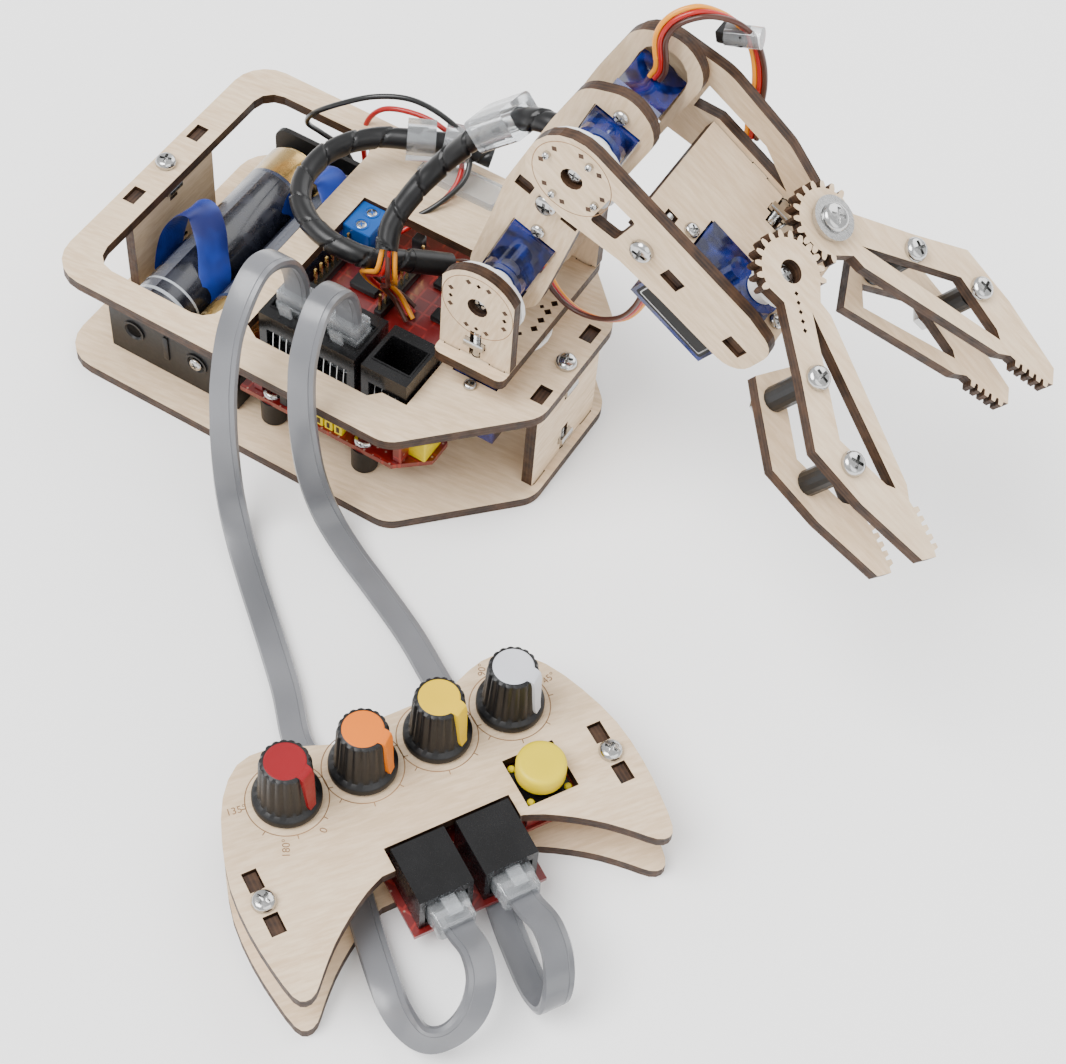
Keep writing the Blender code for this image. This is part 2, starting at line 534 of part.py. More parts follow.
def claw(letter, parent, mirror, first_tooth):
    """Geared upper finger, lower finger and the two spacers between them."""
    rim = [(r * math.cos(math.radians(a)), r * math.sin(math.radians(a)))
           for r, a in gear_teeth(first_tooth, mirror)]
    window = [(9.4, 3.2), (38.0, 2.6), (48.6, 12.6), (49.6, 15.0)]
    marks = [ring(5.0 + 2.1 * k, 0, 0.6, 4) for k in range(5)] if mirror > 0 else []
    spots = [(24.2, 0.0), (43.5, 4.1)]
    inner = [(10.2, 8.2), (7.2, 6.2)]
    outline = claw_outline([(6.9, -3.9)], inner, mirror) + rim
    holes = [ring(0, 0, 2.8, 20), [(u, mirror * v) for u, v in window]]
    holes += [ring(u, mirror * v, 1.6, 10) for u, v in spots] + marks
    node(f"claw_{letter}_upper", prism(outline, CLAW_HIGH, CLAW_HIGH + PLY, holes), "plywood", parent)
    outline = claw_outline([(16.4, 10.6), (18.6, -3.6)], [], mirror)
    lower_window = [(21.5, 3.4), (38.0, 2.6), (48.6, 12.6), (49.2, 14.6), (22, 9.2)]
    holes = [[(u, mirror * v) for u, v in lower_window]]
    holes += [ring(u, mirror * v, 1.6, 10) for u, v in spots]
    node(f"claw_{letter}_lower", prism(outline, CLAW_LOW, CLAW_LOW + PLY, holes), "plywood", parent)
    for number, (u, v) in enumerate(spots, 1):
        tube = [(1.6, PLY + GAP), (3.0, PLY + GAP), (3.0, CLAW_HIGH - GAP), (1.6, CLAW_HIGH - GAP)]
        mesh = turned(tube, 16, x=u, y=mirror * v, tube=True)
        node(f"claw_{letter}_spacer_{number}", mesh, "black_plastic", parent)


# Hand controller --------------------------------------------------------------------------------
def pad_outline():
    """Winged plate: a flat top edge, a curve round each wing and a flat mouth between them."""
    wing = [(12, 29), (20, 32.2), (27.6, 34.8), (34.8, 34), (41, 27.6), (45.4, 17.8), (48.4, 6.4), (48.9, -5),
            (48, -15), (46.6, -22.8), (44.6, -25), (41.8, -24.2), (38.4, -20.6), (33.6, -15.8), (28, -11.4),
            (22, -7.6), (17.4, -5.6)]
    right = [(9, 31)] + [tuple(p) for p in smooth(wing, 2)]
    return right + [(-u, v) for u, v in reversed(right)]


def pad():
    """Hand controller: two plates on upright tabs, with the board, jacks, knobs and button."""
    at, turn = (*PAD_AT, 0), (0, 0, PAD_TURN)
    outline = pad_outline()
    slots = [box(side * 43.2 - 1.5 - GAP, v - 2.6, side * 43.2 + 1.5 + GAP, v + 2.6)
             for side in (-1, 1) for v in (5.8, -5.8)]
    screws = [ring(side * 43.2, 0, 1.6, 10) for side in (-1, 1)]
    node("pad_plate_bottom", prism(outline, 0, PLY, slots + screws), "plywood", None, at, turn)
    shafts = [ring(u, KNOB_V, 3.6, 16) for u in KNOB_U]
    window = box(BUTTON[0] - 6.5, BUTTON[1] - 6.5, BUTTON[0] + 6.5, BUTTON[1] + 6.5)
    holes = slots + screws + shafts + [window]
    top = prism(outline, PAD_TOP, PAD_TOP + PLY, holes)
    mouth = prism(box(-14.2, -20, 17.0, 0.4), PAD_TOP - 1, PAD_TOP + PLY + 1)
    node("pad_plate_top", top, "plywood", None, at, turn, cut=[mouth])
    for name, u in (("pad_side_left", -43.2), ("pad_side_right", 43.2)):
        low, high = PLY + GAP, PAD_TOP - GAP
        foot, outline = PLY - TAB_REACH, [(-9, low)]
        for v in (-5.8, 5.8):
            outline += [(v - 2.3, low), (v - 2.3, foot), (v + 2.3, foot), (v + 2.3, low)]
        outline += [(9, low), (9, high)]
        for v in (5.8, -5.8):
            tip = PAD_TOP + TAB_REACH
            outline += [(v + 2.3, high), (v + 2.3, tip), (v - 2.3, tip), (v - 2.3, high)]
        outline += [(-9, high)]
        node(name, prism(outline, u - 1.5, u + 1.5, plane="YZ"), "plywood", None, at, turn)
    pad_board(at, turn)


def pad_board(at, turn):
    low, top = 6.3, 7.5
    outline = [(-36, 27.5), (36, 27.5), (36, -4.5), (18.3, -4.5), (18.3, -17.2), (-15, -17.2), (-15, 8),
               (-36, 8)]
    parts = []
    for u in KNOB_U:
        body = prism(box(u - 5, KNOB_V - 6, u + 5, KNOB_V + 6), top - 0.5, PAD_TOP - GAP)
        parts += [body, turned([(3.0, top), (3.0, 29.0)], 14, x=u, y=KNOB_V)]
    u, v = BUTTON
    switch = prism(box(u - 6, v - 6, u + 6, v + 6), top - 0.5, PAD_TOP - 0.5)
    node("pad_board", prism(outline, low, top), "red_board", None, at, turn, joined=[*parts, switch])
    for number, u in enumerate(PAD_JACK_U, 1):
        face = box(u - 6.6, top + GAP, u + 6.6, 20.1)
        socket = prism(box(u - 5.2, 9.6, u + 5.2, 17.6), -17, -4.5, plane="XZ")
        node(f"pad_jack_{number}", prism(face, -16.0, -1.1, plane="XZ"), "black_plastic", None, at, turn,
             cut=[socket])


def knobs():
    """Fluted knobs on the potentiometers' shafts, and the button's cap on its switch."""
    for number, u in enumerate(KNOB_U, 1):
        spot = Matrix.Rotation(math.radians(PAD_TURN), 2) @ Vector((u, KNOB_V))
        low = PAD_TOP + PLY + 0.5
        skirt, grip = ring(0, 0, 8.0, 24), []
        for k, (x, y) in enumerate(ring(0, 0, 1, 24)):
            flute = 6.3 if k % 3 else 5.8
            grip.append((x * flute, y * flute))
        bore = ring(0, 0, 3.4, 24)
        level = ((bore, 29.6), (bore, low), (skirt, low), (skirt, low + 2.2), (grip, low + 3.4),
                 (grip, 34.6), (ring(0, 0, 5.2, 24), 35.4))
        mesh = loft([[(x, y, z) for x, y in outline] for outline, z in level])
        at = (PAD_AT[0] + spot.x, PAD_AT[1] + spot.y, 0)
        node(f"knob_{number}", mesh, "black_plastic", None, at, (0, 0, PAD_TURN))
    spot = Matrix.Rotation(math.radians(PAD_TURN), 2) @ Vector(BUTTON)
    cap = turned([(4.2, 17.0), (4.2, 18.6), (5.9, 18.6), (5.9, 23.0), (5.0, 23.8)], 28)
    node("button_cap", cap, "yellow_plastic", None, (PAD_AT[0] + spot.x, PAD_AT[1] + spot.y, 0))


# Cables -----------------------------------------------------------------------------------------
def smooth(points, steps):
    """Catmull-Rom curve through the points."""
    padded = [points[0], *points, points[-1]]
    curve = []
    for a, b, c, d in zip(padded, padded[1:], padded[2:], padded[3:]):
        a, b, c, d = Vector(a), Vector(b), Vector(c), Vector(d)
        for k in range(steps):
            t = k / steps
            curve.append(b + (c - a) * t / 2 + (a * 2 - b * 5 + c * 4 - d) * t * t / 2
                         + (b * 3 - a - c * 3 + d) * t ** 3 / 2)
    return curve + [Vector(points[-1])]


# Route points, each with the direction of the strip's width
ACROSS, LYING_1, LYING_2 = (1, 0, 0), (0.65, 0.76, 0), (0.5, 0.87, 0)
CABLE_ROUTES = {
    "data_cable_1": [((-47.2, -24.8, 42.0), ACROSS), ((-47.3, -25.4, 52.0), ACROSS),
                     ((-47.8, -30.0, 62.0), ACROSS), ((-48.0, -40.0, 66.5), ACROSS),
                     ((-47.4, -51.0, 58.0), ACROSS), ((-46.2, -57.2, 45.0), (1, 0.15, 0)),
                     ((-45.2, -60.0, 32.0), (1, 0.3, 0)), ((-43.8, -62.0, 20.0), (0.9, 0.45, 0)),
                     ((-40.8, -65.0, 10.0), (0.8, 0.6, 0)), ((-34.6, -70.4, 3.8), (0.7, 0.7, 0)),
                     ((-25.0, -78.6, 1.9), LYING_1), ((-11.0, -90.4, 1.9), LYING_1),
                     ((0.0, -100.0, 1.9), LYING_1)],
    "data_cable_2": [((-32.0, -24.8, 42.0), ACROSS), ((-31.9, -25.4, 51.0), ACROSS),
                     ((-31.6, -29.6, 60.5), ACROSS), ((-31.0, -38.6, 63.5), ACROSS),
                     ((-29.8, -47.0, 54.6), (1, 0.2, 0)), ((-28.4, -50.6, 42.0), (0.95, 0.3, 0)),
                     ((-27.0, -51.8, 29.0), (0.85, 0.5, 0)), ((-24.4, -52.8, 17.0), (0.75, 0.65, 0)),
                     ((-19.0, -54.6, 7.6), (0.6, 0.8, 0)), ((-9.4, -58.4, 2.8), LYING_2),
                     ((2.0, -63.4, 1.9), LYING_2), ((15.5, -70.0, 1.9), LYING_2),
                     ((26.0, -76.4, 2.4), LYING_2)],
}
FLAT_ON, EDGE_UP, ROLLED = (1, 0, 0), (-0.35, 0.35, 0.85), (-1, 0, 0)
PAD_ROUTES = {
    "data_cable_1": [((-16.3, 43.5, 1.9), FLAT_ON), ((-17.0, 33.4, 4.6), FLAT_ON),
                     ((-18.5, 18.0, 4.6), FLAT_ON), ((-20.4, 4.0, 4.6), FLAT_ON),
                     ((-23.0, -10.0, 4.6), FLAT_ON), ((-24.8, -21.0, 4.6), FLAT_ON),
                     ((-25.6, -31.0, 5.0), (0.8, 0.1, 0.5)), ((-23.8, -39.2, 7.6), (0.3, 0.3, 0.8)),
                     ((-19.2, -42.6, 11.2), EDGE_UP), ((-13.4, -41.4, 14.0), (-0.6, 0.4, 0.6)),
                     ((-8.6, -36.4, 15.2), (-0.8, 0.4, 0.35)), ((-6.2, -29.4, 14.8), (-1, 0.1, 0.1)),
                     ((-6.4, -23.4, 13.7), ROLLED), ((-6.7, -18.9, 13.6), ROLLED)],
    "data_cable_2": [((19.6, 33.4, 4.6), FLAT_ON), ((17.0, 18.0, 4.6), FLAT_ON),
                     ((13.0, 4.0, 4.6), FLAT_ON), ((9.2, -8.0, 4.6), FLAT_ON),
                     ((6.6, -18.0, 4.2), FLAT_ON), ((5.0, -29.0, 3.9), FLAT_ON),
                     ((4.0, -39.0, 4.8), FLAT_ON), ((4.2, -45.2, 9.0), FLAT_ON),
                     ((6.4, -44.0, 14.0), FLAT_ON), ((9.0, -38.4, 16.4), FLAT_ON),
                     ((10.4, -31.0, 15.8), FLAT_ON), ((9.8, -24.4, 13.9), FLAT_ON),
                     ((9.4, -18.9, 13.6), FLAT_ON)],
}
FLAT = [(-1, 0), (-0.85, -1), (0.85, -1), (1, 0), (0.85, 1), (-0.85, 1)]
LOOM_R = 3.0
LOOM_ROUTE = [(-33, 44, 43), (-42, 41, 45), (-51, 36, 46), (-61, 30, 46), (-67.5, 20, 46), (-68, 8.5, 45.5),
              (-63, 0, 45), (-54, -5, 45), (-45, -6, 45), (-39, -4, 44), (-34, 1, 42), (-30, 6.5, 38.6)]
BRANCH_ROUTE = [(9, 9, 102), (-1, 9.6, 101.4), (-11.4, 11.6, 94), (-20.6, 12.4, 82.6), (-27.8, 8.4, 72.4),
                (-31.6, 1.6, 65.6), (-33, -4.6, 60), (-31.4, -9, 56)]
LEAD_WIDTH, LEAD_THICK = 3.9, 1.3
LEAD_ROUTE = [(24.4, 13.4, 130.4), (23.4, 14, 136), (25.2, 16, 140.4), (29.6, 19.4, 142.4),
              (34.6, 23.4, 140.2), (38.2, 26.6, 135.4), (40.8, 28, 129), (42.4, 28, 122), (42.6, 27.6, 114),
              (43.4, 26.6, 107)]


def data_cables():
    """Flat cables from the base's jacks, round the edge, under the controller and into its jacks."""
    section = [(a * CABLE_WIDTH / 2, b * CABLE_THICK / 2) for a, b in FLAT]
    turn = Matrix.Rotation(math.radians(PAD_TURN), 3, "Z")
    for name, base_end in CABLE_ROUTES.items():
        route = [Vector(p) for p, _ in base_end] + [turn @ Vector(p) + Vector((*PAD_AT, 0))
                                                   for p, _ in PAD_ROUTES[name]]
        sides = [Vector(a) for _, a in base_end] + [turn @ Vector(a) for _, a in PAD_ROUTES[name]]
        node(name, sweep(smooth(route, 3), smooth(sides, 3), section), "grey_cable", None)
    for number, (x, u) in enumerate(zip(JACK_X, PAD_JACK_U), 1):
        body = rounded_box(-4.8, -3.3, 4.8, 3.3, 0.8, steps=2)
        node(f"plug_base_{number}", prism(body, 28.5, 41.7), "clear_plastic", None, (x, JACK_Y, 0))
        body = rounded_box(u - 4.8, 10.3, u + 4.8, 16.9, 0.8, steps=2)
        node(f"plug_pad_{number}", prism(body, -17.9, -5.0, plane="XZ"), "clear_plastic", None,
             (*PAD_AT, 0), (0, 0, PAD_TURN))


def leaned(route, origin, angle):
    """Route in the frame of a body that stands at origin (x, z) and leans by angle."""
    lean = math.radians(angle)
    local = []
    for x, y, z in route:
        ahead, high = x - origin[0], z - origin[1]
        local.append((ahead * math.cos(lean) + high * math.sin(lean), y,
                      high * math.cos(lean) - ahead * math.sin(lean)))
    return local


def looms(arm):
    """Wrapped servo leads: the loop over the base, and the branch that the arm carries."""
    section = ring(0, 0, LOOM_R, 8)
    route = smooth(LOOM_ROUTE, 3)
    node("wire_loom", sweep(route, [Vector((0, 0, 1))] * len(route), section), "black_plastic", None)
    route = smooth(leaned(BRANCH_ROUTE, (0, SHOULDER_Z), ARM_ANGLE), 3)
    node("arm_loom", sweep(route, [Vector((0, 0, 1))] * len(route), section), "black_plastic", arm)


def elbow_lead(forearm_axis):
    """Flat three-wire lead that arches over the elbow and runs down outside the forearm."""
    lean = math.radians(ARM_ANGLE)
    elbow_at = (ARM_LENGTH * math.cos(lean), SHOULDER_Z + ARM_LENGTH * math.sin(lean))
    route = smooth(leaned(LEAD_ROUTE, elbow_at, FOREARM_ANGLE), 3)
    section = [(a * LEAD_WIDTH / 2, b * LEAD_THICK / 2) for a, b in FLAT]
    node("elbow_lead", sweep(route, [Vector((1, 0, 0.4))] * len(route), section), "orange_wire", forearm_axis)


# The kit ----------------------------------------------------------------------------------------
swivel = axis_empty("swivel_axis", None, (0, 0, 0))
shoulder = axis_empty("shoulder_axis", swivel, (0, 0, SHOULDER_Z), (0, -ARM_ANGLE, 0))
elbow = axis_empty("elbow_axis", shoulder, (ARM_LENGTH, 0, 0), (0, ARM_ANGLE - FOREARM_ANGLE, 0))
drive = axis_empty("claw_a_axis", elbow, (GEAR_T, GEAR_A_Y, 0), (0, 0, ANGLE_A))
follow = axis_empty("claw_b_axis", elbow, (GEAR_T, GEAR_B_Y, 0), (0, 0, ANGLE_B))

base_plates()
base_supports()
battery()
boards()
base_jacks()
yoke(swivel)
upper_arm(shoulder)
forearm(elbow)
horn("gripper_horn", drive, (0, 0, -GAP - EAR_TOP), (0, 0, 0), CLAW_HIGH - GAP - (-GAP - EAR_TOP), 7.0)
claw("a", drive, 1, 90 - ANGLE_A)
claw("b", follow, -1, -90 - ANGLE_B + 180 / TEETH)
pad()
knobs()
data_cables()
looms(shoulder)
elbow_lead(elbow)
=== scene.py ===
"""Looks of the servo arm kit: materials, screws, wires, cables, knobs and studio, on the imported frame.

Lengths are millimetres until MM turns them into metres. Each body has a frame at rest: the base, the yoke,
the upper arm, the forearm, the two claws and the hand controller.
"""
import json
import math

import bmesh
import bpy
from mathutils import Matrix, Vector

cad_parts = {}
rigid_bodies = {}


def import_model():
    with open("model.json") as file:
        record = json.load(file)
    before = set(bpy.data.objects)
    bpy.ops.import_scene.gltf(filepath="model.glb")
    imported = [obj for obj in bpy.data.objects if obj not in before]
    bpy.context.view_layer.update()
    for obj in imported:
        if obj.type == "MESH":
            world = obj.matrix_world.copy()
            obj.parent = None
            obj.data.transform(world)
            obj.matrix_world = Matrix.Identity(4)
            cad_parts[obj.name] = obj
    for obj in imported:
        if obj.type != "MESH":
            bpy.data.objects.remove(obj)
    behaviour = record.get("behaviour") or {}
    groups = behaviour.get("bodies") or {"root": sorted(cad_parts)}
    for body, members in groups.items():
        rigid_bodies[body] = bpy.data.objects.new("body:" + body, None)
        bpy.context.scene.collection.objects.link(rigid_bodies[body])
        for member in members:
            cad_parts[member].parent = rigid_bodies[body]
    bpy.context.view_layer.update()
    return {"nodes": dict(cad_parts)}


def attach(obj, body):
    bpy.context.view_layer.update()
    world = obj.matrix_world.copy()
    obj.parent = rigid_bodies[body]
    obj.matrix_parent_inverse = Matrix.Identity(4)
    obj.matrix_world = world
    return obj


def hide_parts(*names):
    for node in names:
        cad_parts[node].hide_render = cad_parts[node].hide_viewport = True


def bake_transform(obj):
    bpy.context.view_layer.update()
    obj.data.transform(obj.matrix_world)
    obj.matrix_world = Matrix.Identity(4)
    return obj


for old in list(bpy.data.objects):
    bpy.data.objects.remove(old)

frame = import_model()

MM = 0.001
PLY = 3.0
DECK_TOP = 35.6
SHOULDER_Z, ARM_LENGTH = 63.1, 60.05
ARM_ANGLE, FOREARM_ANGLE = 69.0, -32.9
GEAR_T, GEAR_A_Y, GEAR_B_Y = 46.4, -6.4, 11.4
ANGLE_A, ANGLE_B = -39.45, 33.35
PAD_AT, PAD_TURN, PAD_TOP = (55.1, -118.0), 58.9, 18.5
KNOB_U, KNOB_V = (-28.15, -9.4, 9.4, 28.15), 21.2
BUTTON = (26.1, 2.2)
JACK_X, JACK_Y = (-47.2, -32.0, -16.8), -24.8
PAD_JACK_U = (-6.7, 9.4)
CELL_X, CELL_Z, CELL_MIDDLE = (-88.6, -69.7), 14.4, 1.8
EAR_HOLES = (-8.4, 19.4)


def spin(axis, degrees):
    return Matrix.Rotation(math.radians(degrees), 4, axis)


def shift(x, y, z):
    return Matrix.Translation((x, y, z))


BASE = Matrix.Identity(4)
ARM = shift(0, 0, SHOULDER_Z) @ spin("Y", -ARM_ANGLE)
FOREARM = ARM @ shift(ARM_LENGTH, 0, 0) @ spin("Y", ARM_ANGLE - FOREARM_ANGLE)
CLAWS = {"claw_a": FOREARM @ shift(GEAR_T, GEAR_A_Y, 0) @ spin("Z", ANGLE_A),
         "claw_b": FOREARM @ shift(GEAR_T, GEAR_B_Y, 0) @ spin("Z", ANGLE_B)}
PAD = shift(*PAD_AT, 0) @ spin("Z", PAD_TURN)
TO_NEAR = spin("X", 90)         # local +Z turned to face -Y, the near side
TO_FAR = spin("X", -90)


# Camera -----------------------------------------------------------------------------------------
def camera():
    data = bpy.data.cameras.new("camera")
    data.lens = 76.2
    data.sensor_width = 36
    data.clip_start = 0.01
    made = bpy.data.objects.new("camera", data)
    right, up, back = (0.8548, 0.5155, 0.0600), (-0.4494, 0.6774, 0.5823), (0.2596, -0.5247, 0.8107)
    aim = Matrix((right, up, back)).transposed().to_4x4()
    aim.translation = (0.1739, -0.3276, 0.4665)
    made.matrix_world = aim
    bpy.context.scene.collection.objects.link(made)
    bpy.context.scene.camera = made


# Node graphs ------------------------------------------------------------------------------------
class Look:
    """One procedural material: its tree, its shader and short ways to add nodes to it."""

    def __init__(self, name, **constants):
        self.material = bpy.data.materials.new(name)
        self.material.use_nodes = True
        self.tree = self.material.node_tree
        self.shader = self.tree.nodes["Principled BSDF"]
        for key, value in constants.items():
            self.shader.inputs[key.replace("_", " ")].default_value = value

    def add(self, kind, inputs, **settings):
        made = self.tree.nodes.new("ShaderNode" + kind)
        for key, value in settings.items():
            setattr(made, key, value)
        for key, value in inputs.items():
            self.put(made.inputs[key], value)
        return made

    def put(self, socket, value):
        if isinstance(value, bpy.types.NodeSocket):
            self.tree.links.new(value, socket)
        else:
            socket.default_value = value

    def math(self, operation, a, b=0.0):
        return self.add("Math", {0: a, 1: b}, operation=operation).outputs[0]

    def dot(self, vector, axis):
        return self.add("VectorMath", {0: vector, 1: axis}, operation="DOT_PRODUCT").outputs["Value"]

    def spot(self):
        return self.add("TexCoord", {}).outputs["Object"]

    def noise(self, vector, scale, detail=3.0, rough=0.55):
        inputs = {"Vector": vector, "Scale": scale, "Detail": detail, "Roughness": rough}
        return self.add("TexNoise", inputs).outputs["Fac"]

    def span(self, value, low, high, to_low=0.0, to_high=1.0):
        """Value carried from one range to another, smoothly, and held at its ends."""
        inputs = {"Value": value, "From Min": low, "From Max": high, "To Min": to_low, "To Max": to_high}
        return self.add("MapRange", inputs, interpolation_type="SMOOTHSTEP").outputs["Result"]

    def mix(self, factor, a, b):
        made = self.add("Mix", {}, data_type="RGBA")
        colours = [socket for socket in made.inputs if socket.type == "RGBA"]
        self.put(made.inputs[0], factor)
        for socket, value in zip(colours, (a, b)):
            self.put(socket, value if isinstance(value, bpy.types.NodeSocket) else (*value, 1))
        return [socket for socket in made.outputs if socket.type == "RGBA"][0]

    def bump(self, height, depth, strength=1.0):
        made = self.add("Bump", {"Height": height, "Distance": depth, "Strength": strength})
        self.put(self.shader.inputs["Normal"], made.outputs["Normal"])

    def use(self, socket, value):
        self.put(self.shader.inputs[socket], value)


# Materials --------------------------------------------------------------------------------------
def plywood(name, facing, along):
    """Birch ply with faces square to facing, grain in the direction of along and charred cut edges."""
    look = Look(name, Roughness=0.62, IOR=1.4)
    facing, along = Vector(facing).normalized(), Vector(along).normalized()
    across = facing.cross(along)
    spot = look.spot()
    axes = [look.dot(spot, tuple(axis * scale)) for axis,
            scale in ((along, 150), (across, 900), (facing, 900))]
    stretched = look.add("CombineXYZ", {0: axes[0], 1: axes[1], 2: axes[2]}).outputs[0]
    fibres = look.noise(stretched, 1.0, 5.0, 0.6)
    broad = [look.dot(spot, tuple(axis * scale)) for axis,
             scale in ((along, 12), (across, 110), (facing, 110))]
    figure = look.noise(look.add("CombineXYZ", {0: broad[0], 1: broad[1], 2: broad[2]}).outputs[0], 1.0, 3.0)
    blotch = look.noise(spot, 22, 2.0)
    pale = look.mix(look.span(fibres, 0.3, 0.75), (0.55, 0.40, 0.25), (0.70, 0.545, 0.375))
    warm = look.mix(look.span(figure, 0.35, 0.75, 0.0, 0.4), pale, (0.74, 0.59, 0.42))
    face = look.mix(look.span(blotch, 0.45, 0.8, 0.0, 0.22), warm, (0.50, 0.345, 0.205))
    layers = look.math("ABSOLUTE", look.math("SUBTRACT", look.math("FRACT", look.math(
        "MULTIPLY", look.dot(spot, tuple(facing)), 1000.0)), 0.5))
    char = look.noise(spot, 260, 4.0)
    burnt = look.mix(look.span(char, 0.3, 0.75), (0.012, 0.005, 0.0025), (0.055, 0.025, 0.011))
    burnt = look.mix(look.span(layers, 0.1, 0.5, 0.0, 0.3), burnt, (0.09, 0.044, 0.02))
    normal = look.add("TexCoord", {}).outputs["Normal"]
    turned_away = look.math("ABSOLUTE", look.dot(normal, tuple(facing)))
    edge = look.span(turned_away, 0.55, 0.8, 1.0, 0.0)
    look.use("Base Color", look.mix(edge, face, burnt))
    look.use("Roughness", look.span(fibres, 0.3, 0.7, 0.68, 0.5))
    look.bump(fibres, 0.00008, 0.5)
    return look.material


def moulded(name, colour, rough, fleck=0.12, coat=0.0, scale=900.0):
    """Moulded plastic: fine skin texture and slightly uneven colour."""
    look = Look(name, IOR=1.5, Coat_Weight=coat, Coat_Roughness=0.08, Specular_IOR_Level=0.35)
    spot = look.spot()
    skin, cloud = look.noise(spot, scale, 4.0), look.noise(spot, 60, 2.0)
    lighter = [min(1.0, c * (1 + fleck) + 0.01 * fleck) for c in colour]
    darker = [c * (1 - fleck) for c in colour]
    look.use("Base Color", look.mix(look.span(cloud, 0.3, 0.7), darker, lighter))
    look.use("Roughness", look.span(skin, 0.3, 0.7, rough * 0.92, rough * 1.08))
    look.bump(skin, 0.00002, 0.12)
    return look.material


def servo_case():
    """Tinted, see-through blue plastic with the darker mechanism behind it."""
    look = Look("servo_blue", IOR=1.5, Transmission_Weight=0.3, Coat_Weight=0.7, Coat_Roughness=0.04)
    spot = look.spot()
    inside, swirl = look.noise(spot, 190, 2.0), look.noise(spot, 700, 3.0)
    deep = look.mix(look.span(inside, 0.4, 0.64), (0.001, 0.003, 0.035), (0.006, 0.022, 0.20))
    look.use("Base Color", look.mix(look.span(swirl, 0.55, 0.8, 0.0, 0.35), deep, (0.03, 0.075, 0.34)))
    look.use("Roughness", look.span(swirl, 0.3, 0.7, 0.10, 0.2))
    look.bump(inside, 0.00004, 0.3)
    return look.material


def clear():
    look = Look("clear_plastic", IOR=1.49, Transmission_Weight=0.86)
    haze = look.noise(look.spot(), 350, 3.0)
    look.use("Base Color", look.mix(haze, (0.78, 0.82, 0.86), (0.95, 0.97, 0.98)))
    look.use("Roughness", look.span(haze, 0.3, 0.7, 0.05, 0.16))
    look.bump(haze, 0.00003, 0.3)
    return look.material


def bright_metal(name, colour, rough):
    look = Look(name, Metallic=1.0)
    spot = look.spot()
    scratch = look.noise(look.add("VectorMath", {0: spot, 1: (900, 3600, 1500)},
                                  operation="MULTIPLY").outputs[0],
                         1.0, 3.0)
    look.use("Base Color", look.mix(scratch, [c * 0.75 for c in colour], colour))
    look.use("Roughness", look.span(scratch, 0.3, 0.7, rough * 0.7, rough * 1.4))
    look.bump(scratch, 0.00001, 0.4)
    return look.material


def circuit(name):
    """Red solder mask with the relief of its traces under it."""
    look = Look(name, Coat_Weight=0.5, Coat_Roughness=0.15)
    spot = look.spot()
    inputs = {"Vector": spot, "Scale": 240.0, "Randomness": 0.0}
    cells = look.add("TexVoronoi", inputs, distance="CHEBYCHEV", feature="F1").outputs["Distance"]
    wander = look.noise(spot, 120, 1.0)
    trace = look.math("MULTIPLY", look.span(cells, 0.40, 0.46), look.span(wander, 0.45, 0.5))
    holes = look.add("TexVoronoi", {"Vector": spot, "Scale": 390.0, "Randomness": 0.15}).outputs["Distance"]
    red = look.mix(trace, (0.13, 0.004, 0.004), (0.24, 0.012, 0.009))
    look.use("Base Color", look.mix(look.span(holes, 0.10, 0.16, 0.55, 0.0), red, (0.42, 0.38, 0.30)))
    look.use("Roughness", look.span(wander, 0.3, 0.7, 0.28, 0.42))
    look.bump(trace, 0.00004, 0.5)
    return look.material


def cell_sleeve(name, tip):
    """Dry cell with its bright end, its dark sleeve and a pale rule round the sleeve."""
    look = Look(name, Coat_Weight=0.25, Coat_Roughness=0.08)
    spot = look.spot()
    reach = look.math("MULTIPLY", look.math("SUBTRACT", look.dot(spot, (0, 1000, 0)), CELL_MIDDLE), tip)
    wear = look.noise(spot, 240, 3.0)
    dark = look.mix(look.span(wear, 0.4, 0.7), (0.006, 0.007, 0.012), (0.016, 0.018, 0.028))
    gold = look.mix(wear, (0.40, 0.25, 0.08), (0.60, 0.42, 0.16))
    around = look.dot(spot, (1000, 0, 0))
    panel = look.math("LESS_THAN", look.math("FRACT", look.math("MULTIPLY", around, 0.0529)), 0.22)
    dark = look.mix(look.math("MULTIPLY", panel, 0.5), dark, (0.16, 0.17, 0.20))
    colour = look.mix(look.math("GREATER_THAN", reach, 21.5), dark, gold)
    for low, high, tint in ((20.4, 21.5, (0.02, 0.03, 0.06)), (-30.6, -29.6, (0.35, 0.38, 0.42)),
                            (-26.6, -25.9, (0.35, 0.38, 0.42))):
        band = look.math("MULTIPLY", look.math("GREATER_THAN", reach, low),
                         look.math("LESS_THAN", reach, high))
        colour = look.mix(band, colour, tint)
    look.use("Base Color", colour)
    look.use("Metallic", look.math("MULTIPLY", look.math("GREATER_THAN", reach, 21.5), 0.95))
    look.use("Roughness", look.span(wear, 0.3, 0.7, 0.18, 0.32))
    return look.material


def satin(name, colour, bright):
    """Woven satin: fine ribs and a sheen."""
    look = Look(name, Sheen_Weight=0.15, Sheen_Roughness=0.35, Roughness=0.42)
    spot = look.spot()
    ribs = look.add("TexWave", {"Vector": spot, "Scale": 1400.0, "Distortion": 0.6}).outputs["Fac"]
    fold = look.noise(spot, 90, 2.0)
    look.use("Base Color", look.mix(look.span(fold, 0.35, 0.7), colour, bright))
    look.bump(ribs, 0.00004, 0.5)
    return look.material


